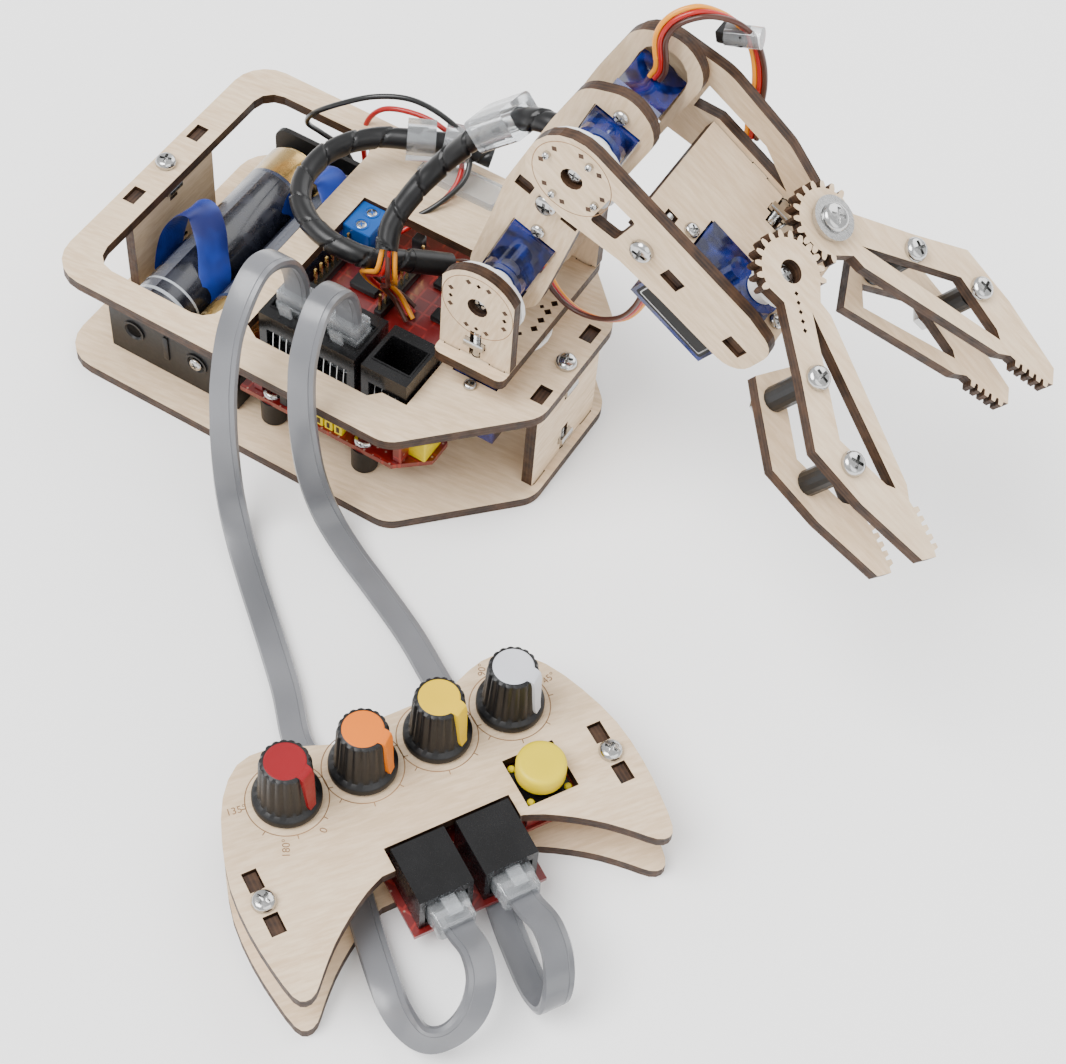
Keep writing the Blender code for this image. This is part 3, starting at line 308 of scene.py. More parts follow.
def cable_skin():
    """Satin grey jacket; slow bands of tone run along it."""
    look = Look("grey_cable", IOR=1.5, Coat_Weight=0.5, Coat_Roughness=0.22)
    spot = look.spot()
    tone, skin = look.noise(spot, 35, 2.0), look.noise(spot, 1200, 3.0)
    look.use("Base Color", look.mix(look.span(tone, 0.3, 0.7), (0.085, 0.088, 0.096), (0.14, 0.143, 0.155)))
    look.use("Roughness", look.span(skin, 0.3, 0.7, 0.3, 0.4))
    look.bump(skin, 0.00002, 0.3)
    return look.material


def studio_floor():
    look = Look("studio_floor", Roughness=0.9)
    tone = look.noise(look.spot(), 3.0, 2.0)
    look.use("Base Color", look.mix(tone, (0.93, 0.93, 0.93), (0.95, 0.95, 0.95)))
    return look.material


TILT = (0.5432, 0, 0.8396)
REACH = (0.8396, 0, -0.5432)
LOOKS = {
    "ply_flat": plywood("ply_flat", (0, 0, 1), (1, 0.12, 0)),
    "ply_pad": plywood("ply_pad", (0, 0, 1), (0.60, 0.80, 0)),
    "ply_side": plywood("ply_side", (0, 1, 0), (0.3, 0, 1)),
    "ply_forearm": plywood("ply_forearm", (0, 1, 0), REACH),
    "ply_support": plywood("ply_support", (1, 0, 0), (0, 1, 0)),
    "ply_cross": plywood("ply_cross", (0.3584, 0, 0.9336), (0, 1, 0)),
    "ply_tilt": plywood("ply_tilt", TILT, REACH),
    "ply_pad_side": plywood("ply_pad_side", (0.5165, 0.8563, 0), (-0.8563, 0.5165, 0)),
    "servo_blue": servo_case(),
    "white_plastic": moulded("white_plastic", (0.70, 0.70, 0.69), 0.4, 0.04),
    "black_plastic": moulded("black_plastic", (0.003, 0.003, 0.0035), 0.26, 0.25),
    "black_satin": moulded("black_satin", (0.005, 0.005, 0.0055), 0.42, 0.25),
    "black_wrap": moulded("black_wrap", (0.004, 0.004, 0.0045), 0.34, 0.3),
    "red_board": circuit("red_board"),
    "cell_far": cell_sleeve("cell_far", 1),
    "cell_near": cell_sleeve("cell_near", -1),
    "steel": bright_metal("steel", (0.56, 0.56, 0.555), 0.17),
    "gold": bright_metal("gold", (0.72, 0.50, 0.20), 0.25),
    "grey_cable": cable_skin(),
    "clear_plastic": clear(),
    "yellow_plastic": moulded("yellow_plastic", (0.66, 0.51, 0.0), 0.42, 0.06),
    "white_cap": moulded("white_cap", (0.52, 0.53, 0.57), 0.45, 0.06),
    "red_cap": moulded("red_cap", (0.20, 0.0, 0.004), 0.45, 0.06),
    "orange_cap": moulded("orange_cap", (0.66, 0.15, 0.0), 0.45, 0.06),
    "yellow_cap": moulded("yellow_cap", (0.64, 0.42, 0.0), 0.45, 0.06),
    "terminal_blue": moulded("terminal_blue", (0.003, 0.075, 0.32), 0.3, 0.1, 0.2),
    "red_wire": moulded("red_wire", (0.36, 0.008, 0.006), 0.3, 0.1, 0.2),
    "orange_wire": moulded("orange_wire", (0.72, 0.27, 0.01), 0.35, 0.1, 0.2),
    "brown_wire": moulded("brown_wire", (0.055, 0.016, 0.009), 0.35, 0.15, 0.2),
    "black_wire": moulded("black_wire", (0.010, 0.010, 0.010), 0.3, 0.2, 0.2),
    "ribbon": satin("ribbon", (0.0, 0.006, 0.10), (0.001, 0.03, 0.27)),
    "engraving": moulded("engraving", (0.24, 0.135, 0.065), 0.8, 0.3),
    # Dark burnt brown for burnt marks; it also serves as painted shade for the jumpers' slot openings.
    "char": moulded("char", (0.05, 0.024, 0.012), 0.7, 0.4),
}
CAD_LOOKS = {
    "ply_flat": ("base_plate_bottom", "base_plate_top", "yoke_floor"),
    "ply_pad": ("pad_plate_bottom", "pad_plate_top"),
    "ply_side": ("yoke_side_near", "yoke_side_far", "arm_plate_near", "arm_plate_far"),
    "ply_forearm": ("forearm_plate_near", "forearm_plate_far"),
    "ply_support": ("base_support_front", "base_support_rear"),
    "ply_cross": ("arm_crosspiece",),
    "ply_tilt": ("forearm_deck", "claw_a_upper", "claw_a_lower", "claw_b_upper", "claw_b_lower"),
    "ply_pad_side": ("pad_side_left", "pad_side_right"),
    "servo_blue": ("base_servo", "shoulder_servo", "elbow_servo", "gripper_servo"),
    "white_plastic": ("swivel_horn", "shoulder_horn", "elbow_horn", "gripper_horn"),
    "black_plastic": ("base_jack_1", "base_jack_2", "base_jack_3", "pad_jack_1", "pad_jack_2"),
    "black_satin": ("battery_holder", "claw_a_spacer_1", "claw_a_spacer_2", "claw_b_spacer_1",
                    "claw_b_spacer_2"),
    "red_board": ("control_board", "jack_board", "pad_board"),
    "steel": ("claw_post",),
    "clear_plastic": ("plug_base_1", "plug_base_2", "plug_pad_1", "plug_pad_2"),
}


def dress_cad():
    for look, names in CAD_LOOKS.items():
        for name in names:
            slots = frame["nodes"][name].data.materials
            slots.clear()
            slots.append(LOOKS[look])


# Meshes -----------------------------------------------------------------------------------------
def ring(x, y, radius, count=24, start=0.0):
    turn = [math.radians(start) + math.tau * k / count for k in range(count)]
    return [(x + radius * math.cos(a), y + radius * math.sin(a)) for a in turn]


def box(x0, y0, x1, y1):
    return [(x0, y0), (x1, y0), (x1, y1), (x0, y1)]


def soft_box(x0, y0, x1, y1, radius, steps=3):
    """Rectangle with round corners."""
    points = []
    corners = ((x1 - radius, y1 - radius, 0), (x0 + radius, y1 - radius, 90),
               (x0 + radius, y0 + radius, 180), (x1 - radius, y0 + radius, 270))
    for x, y, start in corners:
        for k in range(steps + 1):
            turn = math.radians(start + 90 * k / steps)
            points.append((x + radius * math.cos(turn), y + radius * math.sin(turn)))
    return points


def loft(rings, closed=False):
    """Skin over rings of points; the ends are capped, or joined to each other."""
    mesh = bmesh.new()
    rows = [[mesh.verts.new(Vector(p) * MM) for p in one] for one in rings]
    for low, high in list(zip(rows, rows[1:])) + ([(rows[-1], rows[0])] if closed else []):
        for k in range(len(low)):
            mesh.faces.new((low[k], low[(k + 1) % len(low)], high[(k + 1) % len(low)], high[k]))
    if not closed:
        mesh.faces.new(rows[0])
        mesh.faces.new(rows[-1])
    bmesh.ops.recalc_face_normals(mesh, faces=mesh.faces[:])
    return mesh


def stacked(levels, closed=False):
    """Loft of flat outlines at their heights."""
    return loft([[(x, y, z) for x, y in outline] for outline, z in levels], closed)


def turned(profile, count=32, closed=False):
    return stacked([(ring(0, 0, r, count), h) for r, h in profile], closed)


def block(outline, low, high, ease=0.3):
    """Moulded block with eased top and bottom edges."""
    middle = Vector((sum(x for x, _ in outline), sum(y for _, y in outline))) / len(outline)
    size = max((Vector(p) - middle).length for p in outline)
    small = [tuple(middle + (Vector(p) - middle) * (1 - ease / size)) for p in outline]
    return stacked([(small, low), (outline, low + ease), (outline, high - ease), (small, high)])


def smooth(points, steps):
    """Catmull-Rom curve through the points."""
    padded = [points[0], *points, points[-1]]
    curve = []
    for a, b, c, d in zip(padded, padded[1:], padded[2:], padded[3:]):
        a, b, c, d = Vector(a), Vector(b), Vector(c), Vector(d)
        for k in range(steps):
            t = k / steps
            curve.append(b + (c - a) * t / 2 + (a * 2 - b * 5 + c * 4 - d) * t * t / 2
                         + (b * 3 - a - c * 3 + d) * t ** 3 / 2)
    return curve + [Vector(points[-1])]


def sweep(route, section, sides=None):
    """Solid of one cross-section along a route. Without sides, the section is carried without twist."""
    side, rings = Vector((0.13, 0.31, 0.94)), []
    for k, here in enumerate(route):
        ahead = (route[min(k + 1, len(route) - 1)] - route[max(k - 1, 0)]).normalized()
        side = sides[k] if sides else side
        side = (side - ahead * side.dot(ahead)).normalized()
        up = side.cross(ahead)
        outline = section(k) if callable(section) else section
        rings.append([here + side * a + up * b for a, b in outline])
    return loft(rings)


# Pieces -----------------------------------------------------------------------------------------
def piece(name, mesh, look, body, spot=BASE):
    """Finished piece of the object, set in the row frame and riding on its body."""
    data = bpy.data.meshes.new(name)
    mesh.to_mesh(data)
    mesh.free()
    move = spot.copy()
    move.translation *= MM
    data.transform(move)
    data.shade_smooth()
    data.set_sharp_from_angle(angle=math.radians(38))
    data.materials.append(LOOKS[look])
    made = bpy.data.objects.new(name, data)
    bpy.context.scene.collection.objects.link(made)
    if body:
        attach(made, body)
    return made


def cross_outline(arm, half):
    """Plus shape of a screw's drive, with points between its corners."""
    quarter = [(arm, -half), (arm, 0), (arm, half), ((arm + half) / 2, half), (half, half),
               (half, (arm + half) / 2)]
    points = []
    for k in range(4):
        turn = Matrix.Rotation(math.pi / 2 * k, 2)
        points += [tuple(turn @ Vector(p)) for p in quarter]
    return points


def pan_head(radius, height, shaft=0.0, shaft_radius=1.4, turn=0.0):
    """Pan-head screw with a cross drive; its head stands on local z 0 and its shaft goes down."""
    cross = cross_outline(radius * 0.56, radius * 0.13)
    around = [tuple(Vector(p).normalized()) for p in cross]

    def circle(r):
        return [(x * r, y * r) for x, y in around]

    levels = [(circle(radius * 0.93), 0), (circle(radius), height * 0.2),
              (circle(radius * 0.97), height * 0.5),
              (circle(radius * 0.84), height * 0.84), (circle(radius * 0.66), height * 0.97), (cross, height),
              ([(x * 0.8, y * 0.8) for x, y in cross], height * 0.45)]
    if shaft:
        levels = [(circle(shaft_radius), -shaft), (circle(shaft_radius), 0)] + levels
    mesh = stacked(levels)
    bmesh.ops.transform(mesh, matrix=Matrix.Rotation(math.radians(turn), 4, "Z"), verts=mesh.verts[:])
    return mesh


def screw(name, body, spot, radius=2.9, height=2.1, shaft=0.0, turn=20.0, shaft_radius=1.4):
    piece(name, pan_head(radius, height, shaft, shaft_radius, turn), "steel", body, spot)


def small_screws(name, body, spot, places, radius=1.75):
    for number, (x, y) in enumerate(places, 1):
        screw(f"{name}_{number}", body, spot @ shift(x, y, 0), radius, 1.3, 2.4, 25 * number, 0.8)


def nut(name, body, spot, sides=4, size=5.5, thick=2.2):
    """Nut lying on local z 0, with its bore."""
    flat = size / 2 / math.cos(math.pi / sides)
    count = sides * 4
    outer = []
    for k in range(count):
        turn = math.tau * k / count
        within = (turn + math.pi / sides) % (math.tau / sides) - math.pi / sides
        reach = min(flat, size / 2 / math.cos(within))
        outer.append((reach * math.cos(turn), reach * math.sin(turn)))
    bore = [tuple(Vector(p).normalized() * 1.45) for p in outer]
    chamfer = [tuple(Vector(p) * 0.93) for p in outer]
    levels = [(chamfer, 0), (outer, 0.3), (outer, thick - 0.3), (chamfer, thick), (bore, thick), (bore, 0)]
    piece(name, stacked(levels, closed=True), "steel", body, spot)


def slot_screw(name, body, head, length, pocket, radius=2.9):
    """Screw through a plate into an edge slot, with the square nut in the slot's pocket."""
    screw(f"{name}_screw", body, head, radius, 2.1, length)
    nut(f"{name}_nut", body, head @ shift(0, 0, -pocket))


def wire(name, points, radius, look, body, spot=BASE, steps=6, count=10):
    """Wire along a route. Given two bodies, it is baked in place and attached to neither."""
    route = smooth([spot @ Vector(p) for p in points], steps)
    mesh = sweep(route, ring(0, 0, radius, count))
    if isinstance(body, str):
        return piece(name, mesh, look, body)
    made = piece(name, mesh, look, None)
    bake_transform(made)
    return made


def lead(name, points, body, spot=BASE, spread=(0, 0, 1.25), radius=0.62):
    """Three-wire servo lead: brown, red and orange side by side."""
    for number, look in enumerate(("brown_wire", "red_wire", "orange_wire")):
        offset = Vector(spread) * (number - 1)
        wire(f"{name}_{look}", [Vector(p) + offset for p in points], radius, look, body, spot)


# Cables -----------------------------------------------------------------------------------------
ACROSS, LYING_1, LYING_2 = (1, 0, 0), (0.65, 0.76, 0), (0.5, 0.87, 0)
CABLE_ROUTES = {
    "data_cable_1": [((-47.2, -24.8, 42.0), ACROSS), ((-47.3, -25.4, 52.0), ACROSS),
                     ((-47.8, -30.0, 62.0), ACROSS), ((-48.0, -40.0, 66.5), ACROSS),
                     ((-47.4, -51.0, 58.0), ACROSS), ((-46.2, -57.2, 45.0), (1, 0.15, 0)),
                     ((-45.2, -60.0, 32.0), (1, 0.3, 0)), ((-43.8, -62.0, 20.0), (0.9, 0.45, 0)),
                     ((-40.8, -65.0, 10.0), (0.8, 0.6, 0)), ((-34.6, -70.4, 3.8), (0.7, 0.7, 0)),
                     ((-25.0, -78.6, 1.9), LYING_1), ((-11.0, -90.4, 1.9), LYING_1),
                     ((0.0, -100.0, 1.9), LYING_1)],
    "data_cable_2": [((-32.0, -24.8, 42.0), ACROSS), ((-31.9, -25.4, 51.0), ACROSS),
                     ((-31.6, -29.6, 60.5), ACROSS), ((-31.0, -38.6, 63.5), ACROSS),
                     ((-29.8, -47.0, 54.6), (1, 0.2, 0)), ((-28.4, -50.6, 42.0), (0.95, 0.3, 0)),
                     ((-27.0, -51.8, 29.0), (0.85, 0.5, 0)), ((-24.4, -52.8, 17.0), (0.75, 0.65, 0)),
                     ((-19.0, -54.6, 7.6), (0.6, 0.8, 0)), ((-9.4, -58.4, 2.8), LYING_2),
                     ((2.0, -63.4, 1.9), LYING_2), ((15.5, -70.0, 1.9), LYING_2),
                     ((26.0, -76.4, 2.4), LYING_2)],
}
FLAT_ON, EDGE_UP, ROLLED = (1, 0, 0), (-0.35, 0.35, 0.85), (-1, 0, 0)
PAD_ROUTES = {
    "data_cable_1": [((-16.3, 43.5, 1.9), FLAT_ON), ((-17.0, 33.4, 4.6), FLAT_ON),
                     ((-18.5, 18.0, 4.6), FLAT_ON), ((-20.4, 4.0, 4.6), FLAT_ON),
                     ((-23.0, -10.0, 4.6), FLAT_ON), ((-24.8, -21.0, 4.6), FLAT_ON),
                     ((-25.6, -31.0, 5.0), (0.8, 0.1, 0.5)), ((-23.8, -39.2, 7.6), (0.3, 0.3, 0.8)),
                     ((-19.2, -42.6, 11.2), EDGE_UP), ((-13.4, -41.4, 14.0), (-0.6, 0.4, 0.6)),
                     ((-8.6, -36.4, 15.2), (-0.8, 0.4, 0.35)), ((-6.2, -29.4, 14.8), (-1, 0.1, 0.1)),
                     ((-6.4, -23.4, 13.7), ROLLED), ((-6.7, -18.9, 13.6), ROLLED)],
    "data_cable_2": [((19.6, 33.4, 4.6), FLAT_ON), ((17.0, 18.0, 4.6), FLAT_ON),
                     ((13.0, 4.0, 4.6), FLAT_ON), ((9.2, -8.0, 4.6), FLAT_ON),
                     ((6.6, -18.0, 4.2), FLAT_ON), ((5.0, -29.0, 3.9), FLAT_ON),
                     ((4.0, -39.0, 4.8), FLAT_ON), ((4.2, -45.2, 9.0), FLAT_ON),
                     ((6.4, -44.0, 14.0), FLAT_ON), ((9.0, -38.4, 16.4), FLAT_ON),
                     ((10.4, -31.0, 15.8), FLAT_ON), ((9.8, -24.4, 13.9), FLAT_ON),
                     ((9.4, -18.9, 13.6), FLAT_ON)],
}
CABLE_WIDTH, CABLE_THICK = 7.2, 2.3
LOOM_R = 3.0
LOOM_ROUTE = [(-33, 44, 43), (-42, 41, 45), (-51, 36, 46), (-61, 30, 46), (-67.5, 20, 46), (-68, 8.5, 45.5),
              (-63, 0, 45), (-54, -5, 45), (-45, -6, 45), (-39, -4, 44), (-34, 1, 42), (-30, 6.5, 38.6)]
LEAD_ROUTE = [(24.4, 13.4, 130.4), (23.4, 14, 136), (25.2, 16, 140.4), (29.6, 19.4, 142.4),
              (34.6, 23.4, 140.2), (38.2, 26.6, 135.4), (40.8, 28, 129), (42.4, 28, 122), (42.6, 27.6, 114),
              (43.4, 26.6, 107)]
BRANCH_ROUTE = [(9, 9, 102), (-1, 9.6, 101.4), (-11.4, 11.6, 94), (-20.6, 12.4, 82.6), (-27.8, 8.4, 72.4),
                (-31.6, 1.6, 65.6), (-33, -4.6, 60), (-31.4, -9, 56)]


def cable_section():
    """Flat jacket with round edges and a fine groove beside one edge, on both faces."""
    half, deep = CABLE_WIDTH / 2, CABLE_THICK / 2
    top = [(half * x, deep * y) for x, y in ((0.90, 0.86), (0.60, 1), (0.56, 0.90), (0.52, 1), (0, 1),
                                             (-0.52, 1), (-0.90, 0.86))]
    return [(half, 0), *top, (-half, 0), *[(x, -y) for x, y in reversed(top)]]


def data_cables():
    """Flat cables from the base's jacks, over the edge, under the controller and into its jacks."""
    for number, (name, base_end) in enumerate(CABLE_ROUTES.items(), 1):
        pad_end = PAD_ROUTES[name]
        points = [Vector(p) for p, _ in base_end] + [PAD @ Vector(p) for p, _ in pad_end]
        sides = [Vector(a) for _, a in base_end] + [PAD.to_3x3() @ Vector(a) for _, a in pad_end]
        route = smooth(points, 8)
        made = piece(f"flat_cable_{number}", sweep(route, cable_section(), smooth(sides, 8)), "grey_cable",
                     "base")
        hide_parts(name)


def wrapped_loom(name, points, body, node):
    """Bundle of leads in a spiral wrap, whose overlapping edge winds round it."""
    route = smooth(points, 26)
    along, reach = [0.0], 0.0
    for before, here in zip(route, route[1:]):
        reach += (here - before).length
        along.append(reach)
    pitch, count = 9.0, 28

    def section(k):
        outline = []
        for step in range(count):
            phase = (along[k] / pitch - step / count) % 1
            radius = LOOM_R - (0.55 if phase < 0.09 else 0.30 * phase)
            turn = math.tau * step / count
            outline.append((radius * math.cos(turn), radius * math.sin(turn)))
        return outline

    made = piece(name, sweep(route, section), "black_wrap", body)
    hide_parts(node)
    return made


def looms():
    wrapped_loom("loom_wrap", LOOM_ROUTE, "base", "wire_loom")
    wrapped_loom("branch_wrap", BRANCH_ROUTE, "upper_arm", "arm_loom")
    end = Vector(LOOM_ROUTE[-1])
    sleeve = [Vector(LOOM_ROUTE[-2]) * 0.6 + end * 0.4, end, end + Vector((4.6, 5.2, -3.0))]
    piece("loom_sleeve", sweep(smooth(sleeve, 4), ring(0, 0, 3.15, 20)), "black_satin", "base")
    spread = [(-0.9, -0.9), (0.9, -0.9), (0, 0.9)]
    colours = ("orange_wire", "red_wire", "brown_wire")
    for number, ((a, b), look) in enumerate(zip(spread, colours)):
        points = [end + Vector((3, 3.4, -2 + a)), (-22 + a, 13.5 + b, 36.6), (-16 + a, 16 + b, 32.5),
                  (-13 + a, 12 + b, 27.4), (-13 + a, 6 + b, 25.4)]
        wire(f"loom_tail_{number}", points, 0.65, look, "base")
        points = [(-31.4 + a, -8.4 + b, 57), (-32 + a, -10 + b, 50), (-36 + a, -7 + b, 44),
                  (-40.5 + a, -4 + b, 38.5), (-40 + a, -1 + b, 32.5), (-34.5 + a, 1 + b, 28.5),
                  (-29.5 + a, 1 + b, 26.0)]
        wire(f"branch_tail_{number}", points, 0.65, look, ("base", "yoke"))
        points = [(-31 - a, -8.4 - b, 57), (-29.5 - a, -10.5 - b, 49), (-31.5 - a, -7 - b, 42),
                  (-35.5 - a, -3.5 - b, 36), (-33.5 - a, -1 - b, 30), (-28.5 - a, -3 - b, 26.4)]
        wire(f"branch_drop_{number}", points, 0.65, look, ("base", "yoke"))


# Base -------------------------------------------------------------------------------------------
def base_hardware():
    for name, x in (("front", 16.2), ("rear", -106.4)):
        slot_screw(f"deck_{name}", "base", shift(x, 0, DECK_TOP), 12.0, 9.0)
        screw(f"sole_{name}_screw", "base", shift(x, 0, 2.4) @ spin("X", 180), 2.2, 2.2, 8.5)
        nut(f"sole_{name}_nut", "base", shift(x, 0, 7.0))
    small_screws("base_servo_screw", "base", shift(0, 0, DECK_TOP), [(0, -x) for x in EAR_HOLES])
    small_screws("board_screw", "base", shift(0, 0, 12.8), [(-50, -33), (-22, -33)], 2.8)


def board_sleeves():
    """Black sleeves on the posts that carry the control board."""
    for number, (x, y) in enumerate(((-50, -33), (-22, -33), (-50, 28), (-16, 28))):
        sleeve = [(3.02, 3.4), (3.5, 3.4), (3.5, 11.1), (3.02, 11.1)]
        piece(f"board_sleeve_{number}", turned(sleeve, 32, closed=True), "black_satin", "base",
              shift(x, y, 0))


def pin_rows():
    """Header strips on the two boards, each a black bar with its pins."""
    rows = [("header_left", -54.5, -8.0, 8, 24.9), ("header_right", -13.0, -30.0, 18, 24.9),
            ("header_middle", -36.0, -6.0, 9, 24.9)]
    for name, x, y, count, z in rows:
        length = 2.54 * count
        piece(name, block(soft_box(x - 1.2, y, x + 1.2, y + length, 0.3), z, z + 2.5), "black_satin", "base")
        for k in range(count):
            pin = block(box(x - 0.32, y + 2.54 * k + 0.95, x + 0.32, y + 2.54 * k + 1.6), z + 2.3, z + 8.0,
                        0.1)
            piece(f"{name}_pin_{k}", pin, "gold", "base")


def terminal():
    """Two-way screw terminal."""
    piece("terminal_block", block(soft_box(-57, 9, -48.4, 19.2, 0.4), 25.0, 34.6), "terminal_blue", "base")
    for number, y in enumerate((11.6, 16.6)):
        at = shift(-52.6, y, 34.2)
        rim = [(2.1, 0), (2.1, 0.6), (1.7, 0.6), (1.7, 0)]
        piece(f"terminal_rim_{number}", turned(rim, 24, closed=True), "terminal_blue", "base", at)
        screw(f"terminal_screw_{number}", "base", at @ shift(0, 0, 0.1), 1.6, 0.4, 0, 40)


def chips():
    """Parts on the boards that the plates leave in view."""
    places = [("chip_1", -44, 6, 8, 14, 24.9, 2.0), ("chip_2", -25, 14, 10, 6, 24.9, 1.6),
              ("capacitor_1", -40, 20, 3.0, 3.0, 24.9, 5.0), ("chip_3", -22, 3, 5, 4, 24.9, 1.8)]
    for name, x, y, wide, deep, z, tall in places:
        shape = soft_box(x - wide / 2, y - deep / 2, x + wide / 2, y + deep / 2, 0.4)
        piece(name, block(shape, z, z + tall), "black_satin", "base")
    for number in range(4):
        x = -38.4 + 2.9 * number
        piece(f"jumper_{number}", block(soft_box(x, -35.6, x + 2.5, -31.0, 0.3), 13.0, 20.0),
              "yellow_plastic",
              "base")
        # Painted shade: each slot is a dark char patch on the jumper's face standing in for the shade inside
        # its opening; no opening is cut.
        for k in range(2):
            hole = soft_box(x + 0.8, -35.75, x + 1.7, -35.5, 0.1)
            piece(f"jumper_{number}_slot_{k}", block(hole, 14.0 + 3 * k, 16.0 + 3 * k, 0.05), "char", "base")
    piece("port_block", block(soft_box(-13.5, -31.0, -5.2, -22.8, 0.5), 13.0, 21.8), "yellow_plastic", "base")
    for k in range(3):
        x = -46.4 + 2.6 * k
        piece(f"side_pin_{k}", block(soft_box(x, -35.4, x + 2.2, -32.4, 0.2), 13.0, 17.2), "black_satin",
              "base")


def jack_contacts():
    """Contacts behind each jack's front window, made in steel, and a lip round each jack."""
    for number, x in enumerate(JACK_X, 1):
        for k in range(4):
            at = x - 3.0 + 2.0 * k
            points = [(at, JACK_Y - 7.2, 27.6), (at, JACK_Y - 7.0, 32), (at, JACK_Y - 6.2, 36.6),
                      (at, JACK_Y - 4.6, 37.6)]
            wire(f"jack_{number}_contact_{k}", points, 0.2, "steel", "base", count=6)
        lip = [(soft_box(x - 5.2, JACK_Y - 4.2, x + 5.2, JACK_Y + 4.2, 0.2), 41.25),
               (soft_box(x - 5.7, JACK_Y - 4.7, x + 5.7, JACK_Y + 4.7, 0.4), 41.25),
               (soft_box(x - 5.6, JACK_Y - 4.6, x + 5.6, JACK_Y + 4.6, 0.4), 41.5),
               (soft_box(x - 5.3, JACK_Y - 4.3, x + 5.3, JACK_Y + 4.3, 0.2), 41.5)]
        piece(f"jack_{number}_lip", stacked(lip, closed=True), "black_plastic", "base")


def batteries():
    """Two dry cells, each with a button at one end and a flat at the other."""
    half, radius = 32.5, 9.1
    profile = [(6.4, -half - 0.2), (7.4, -half), (7.9, -half + 0.3), (8.7, -half + 0.4),
               (radius, -half + 0.9),
               (radius, half - 1.6), (8.8, half - 1.0), (8.3, half - 0.9), (8.1, half - 0.1), (7.6, half),
               (3.6, half), (3.4, half + 1.2), (3.0, half + 1.5)]
    for number, (x, tip, look) in enumerate(zip(CELL_X, (1, -1), ("cell_far", "cell_near")), 1):
        spot = shift(x, CELL_MIDDLE, CELL_Z) @ spin("X", -90 * tip)
        made = piece(f"dry_cell_{number}", turned(profile, 64), look, "base", spot)
        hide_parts(f"battery_cell_{number}")


def holder_details():
    """Moulded recesses and the screw in the holder's near end, and the first cell's spring."""
    near = TO_NEAR
    rim = [(3.3, 0), (3.3, 0.5), (2.7, 0.5), (2.2, -0.1)]
    for number, x in enumerate((-91.5, -71.5)):
        spot = shift(x, -36.7, 13.5) @ near
        piece(f"holder_recess_{number}", turned(rim, 28), "black_satin", "base", spot)
    screw("holder_screw", "base", shift(-71.5, -37.0, 13.5) @ near, 1.9, 0.9)
    piece("holder_key", block(soft_box(-81.9, -37.2, -80.3, -36.6, 0.2), 9.0, 17.6), "black_satin", "base")
    x = CELL_X[0]
    points = [(x + 4.2 * math.cos(k * 0.9) * (1 - k / 36), -31.4 - 0.14 * k,
               CELL_Z + 4.2 * math.sin(k * 0.9) * (1 - k / 36)) for k in range(24)]
    wire("holder_spring_0", points, 0.35, "steel", "base", steps=3, count=8)


def ribbons():
    """Satin pull ribbons: each comes up beside its cell, stands proud of it and folds down over it."""
    path = [(-9.55, -13, 11), (-9.9, -11.4, 18), (-9.2, -8.8, 25), (-6.4, -6.2, 30.6), (-2.4, -5.6, 31.4),
            (1.6, -8.0, 27.8), (5.0, -11.6, 23.8), (8.0, -15.4, 19.6), (9.35, -18.6, 14.6)]
    section = [(4.6, 0), (4.0, 0.22), (1.2, 0.34), (-1.4, 0.26), (-4.0, 0.22), (-4.6, 0), (-4.0, -0.22),
               (-1.4, -0.18), (1.2, -0.10), (4.0, -0.22)]
    for number, (x, y, low) in enumerate(((CELL_X[0], 0, 0), (CELL_X[1], 31, -2.5)), 1):
        route = smooth([(x + a, y + b, c + low * max(0, c - 18) / 12) for a, b, c in path], 6)
        sides = [Vector((0.25, 1, 0.1 * math.sin(0.5 * k))) for k in range(len(route))]
        made = piece(f"pull_ribbon_{number}", sweep(route, section, sides), "ribbon", "base")


def battery_leads():
    """Black and red leads from the holder's far end, arching over to the terminal."""
    black = [(-74, 41.2, 17), (-79, 42.4, 22), (-84, 39, 28), (-85.5, 35, 34), (-82, 33, 41), (-74, 34, 48),
             (-65, 37, 53), (-56, 40.5, 54), (-47, 42.5, 51), (-40, 42.5, 46), (-36, 36, 41), (-39, 26, 37),
             (-46, 19, 32), (-49.5, 16.8, 29.4)]
    red = [(-70.5, 41.2, 17), (-71.5, 41.5, 24), (-72, 41.5, 31), (-70.5, 42.5, 38), (-66, 43.5, 43),
           (-58, 44.5, 45), (-50, 44.5, 45), (-42, 43, 42.5), (-38, 35, 38.5), (-40.5, 25, 34),
           (-46, 16, 30), (-49.5, 11.8, 29.4)]
    wire("battery_lead_black", black, 0.75, "black_wire", "base")
    wire("battery_lead_red", red, 0.75, "red_wire", "base")


def clamp(name, body, here, ahead, wide, deep, length):
    """Clear moulded clamp round a loom, square outside and round inside."""
    outer = soft_box(-wide / 2, -deep / 2, wide / 2, deep / 2, 1.2)
    inner = [tuple(Vector(p).normalized() * 3.3) for p in outer]
    half = length / 2
    levels = [(inner, -half), (outer, -half), (outer, half), (inner, half)]
    spot = Matrix.Translation(here) @ ahead.to_track_quat("Z", "Y").to_matrix().to_4x4()
    piece(name, stacked(levels, closed=True), "clear_plastic", body, spot)


def clips():
    """Clear clips that hold the loom on their adhesive foot, and the clamp where the branch meets the arm."""
    piece("clip_foot", block(soft_box(-50, 33.4, -26, 41.4, 1.0), DECK_TOP + 0.05, 38.2), "clear_plastic",
          "base")
    route = smooth(LOOM_ROUTE, 14)
    for number, k in enumerate((14, 27)):
        ahead = (route[k + 1] - route[k - 1]).normalized()
        clamp(f"loom_clip_{number}", "base", route[k], ahead, 8.6, 8.6, 7.5)
    route = smooth(BRANCH_ROUTE, 26)
    clamp("branch_clamp", "upper_arm", route[55], (route[56] - route[54]).normalized(), 10.5, 8.6, 15)


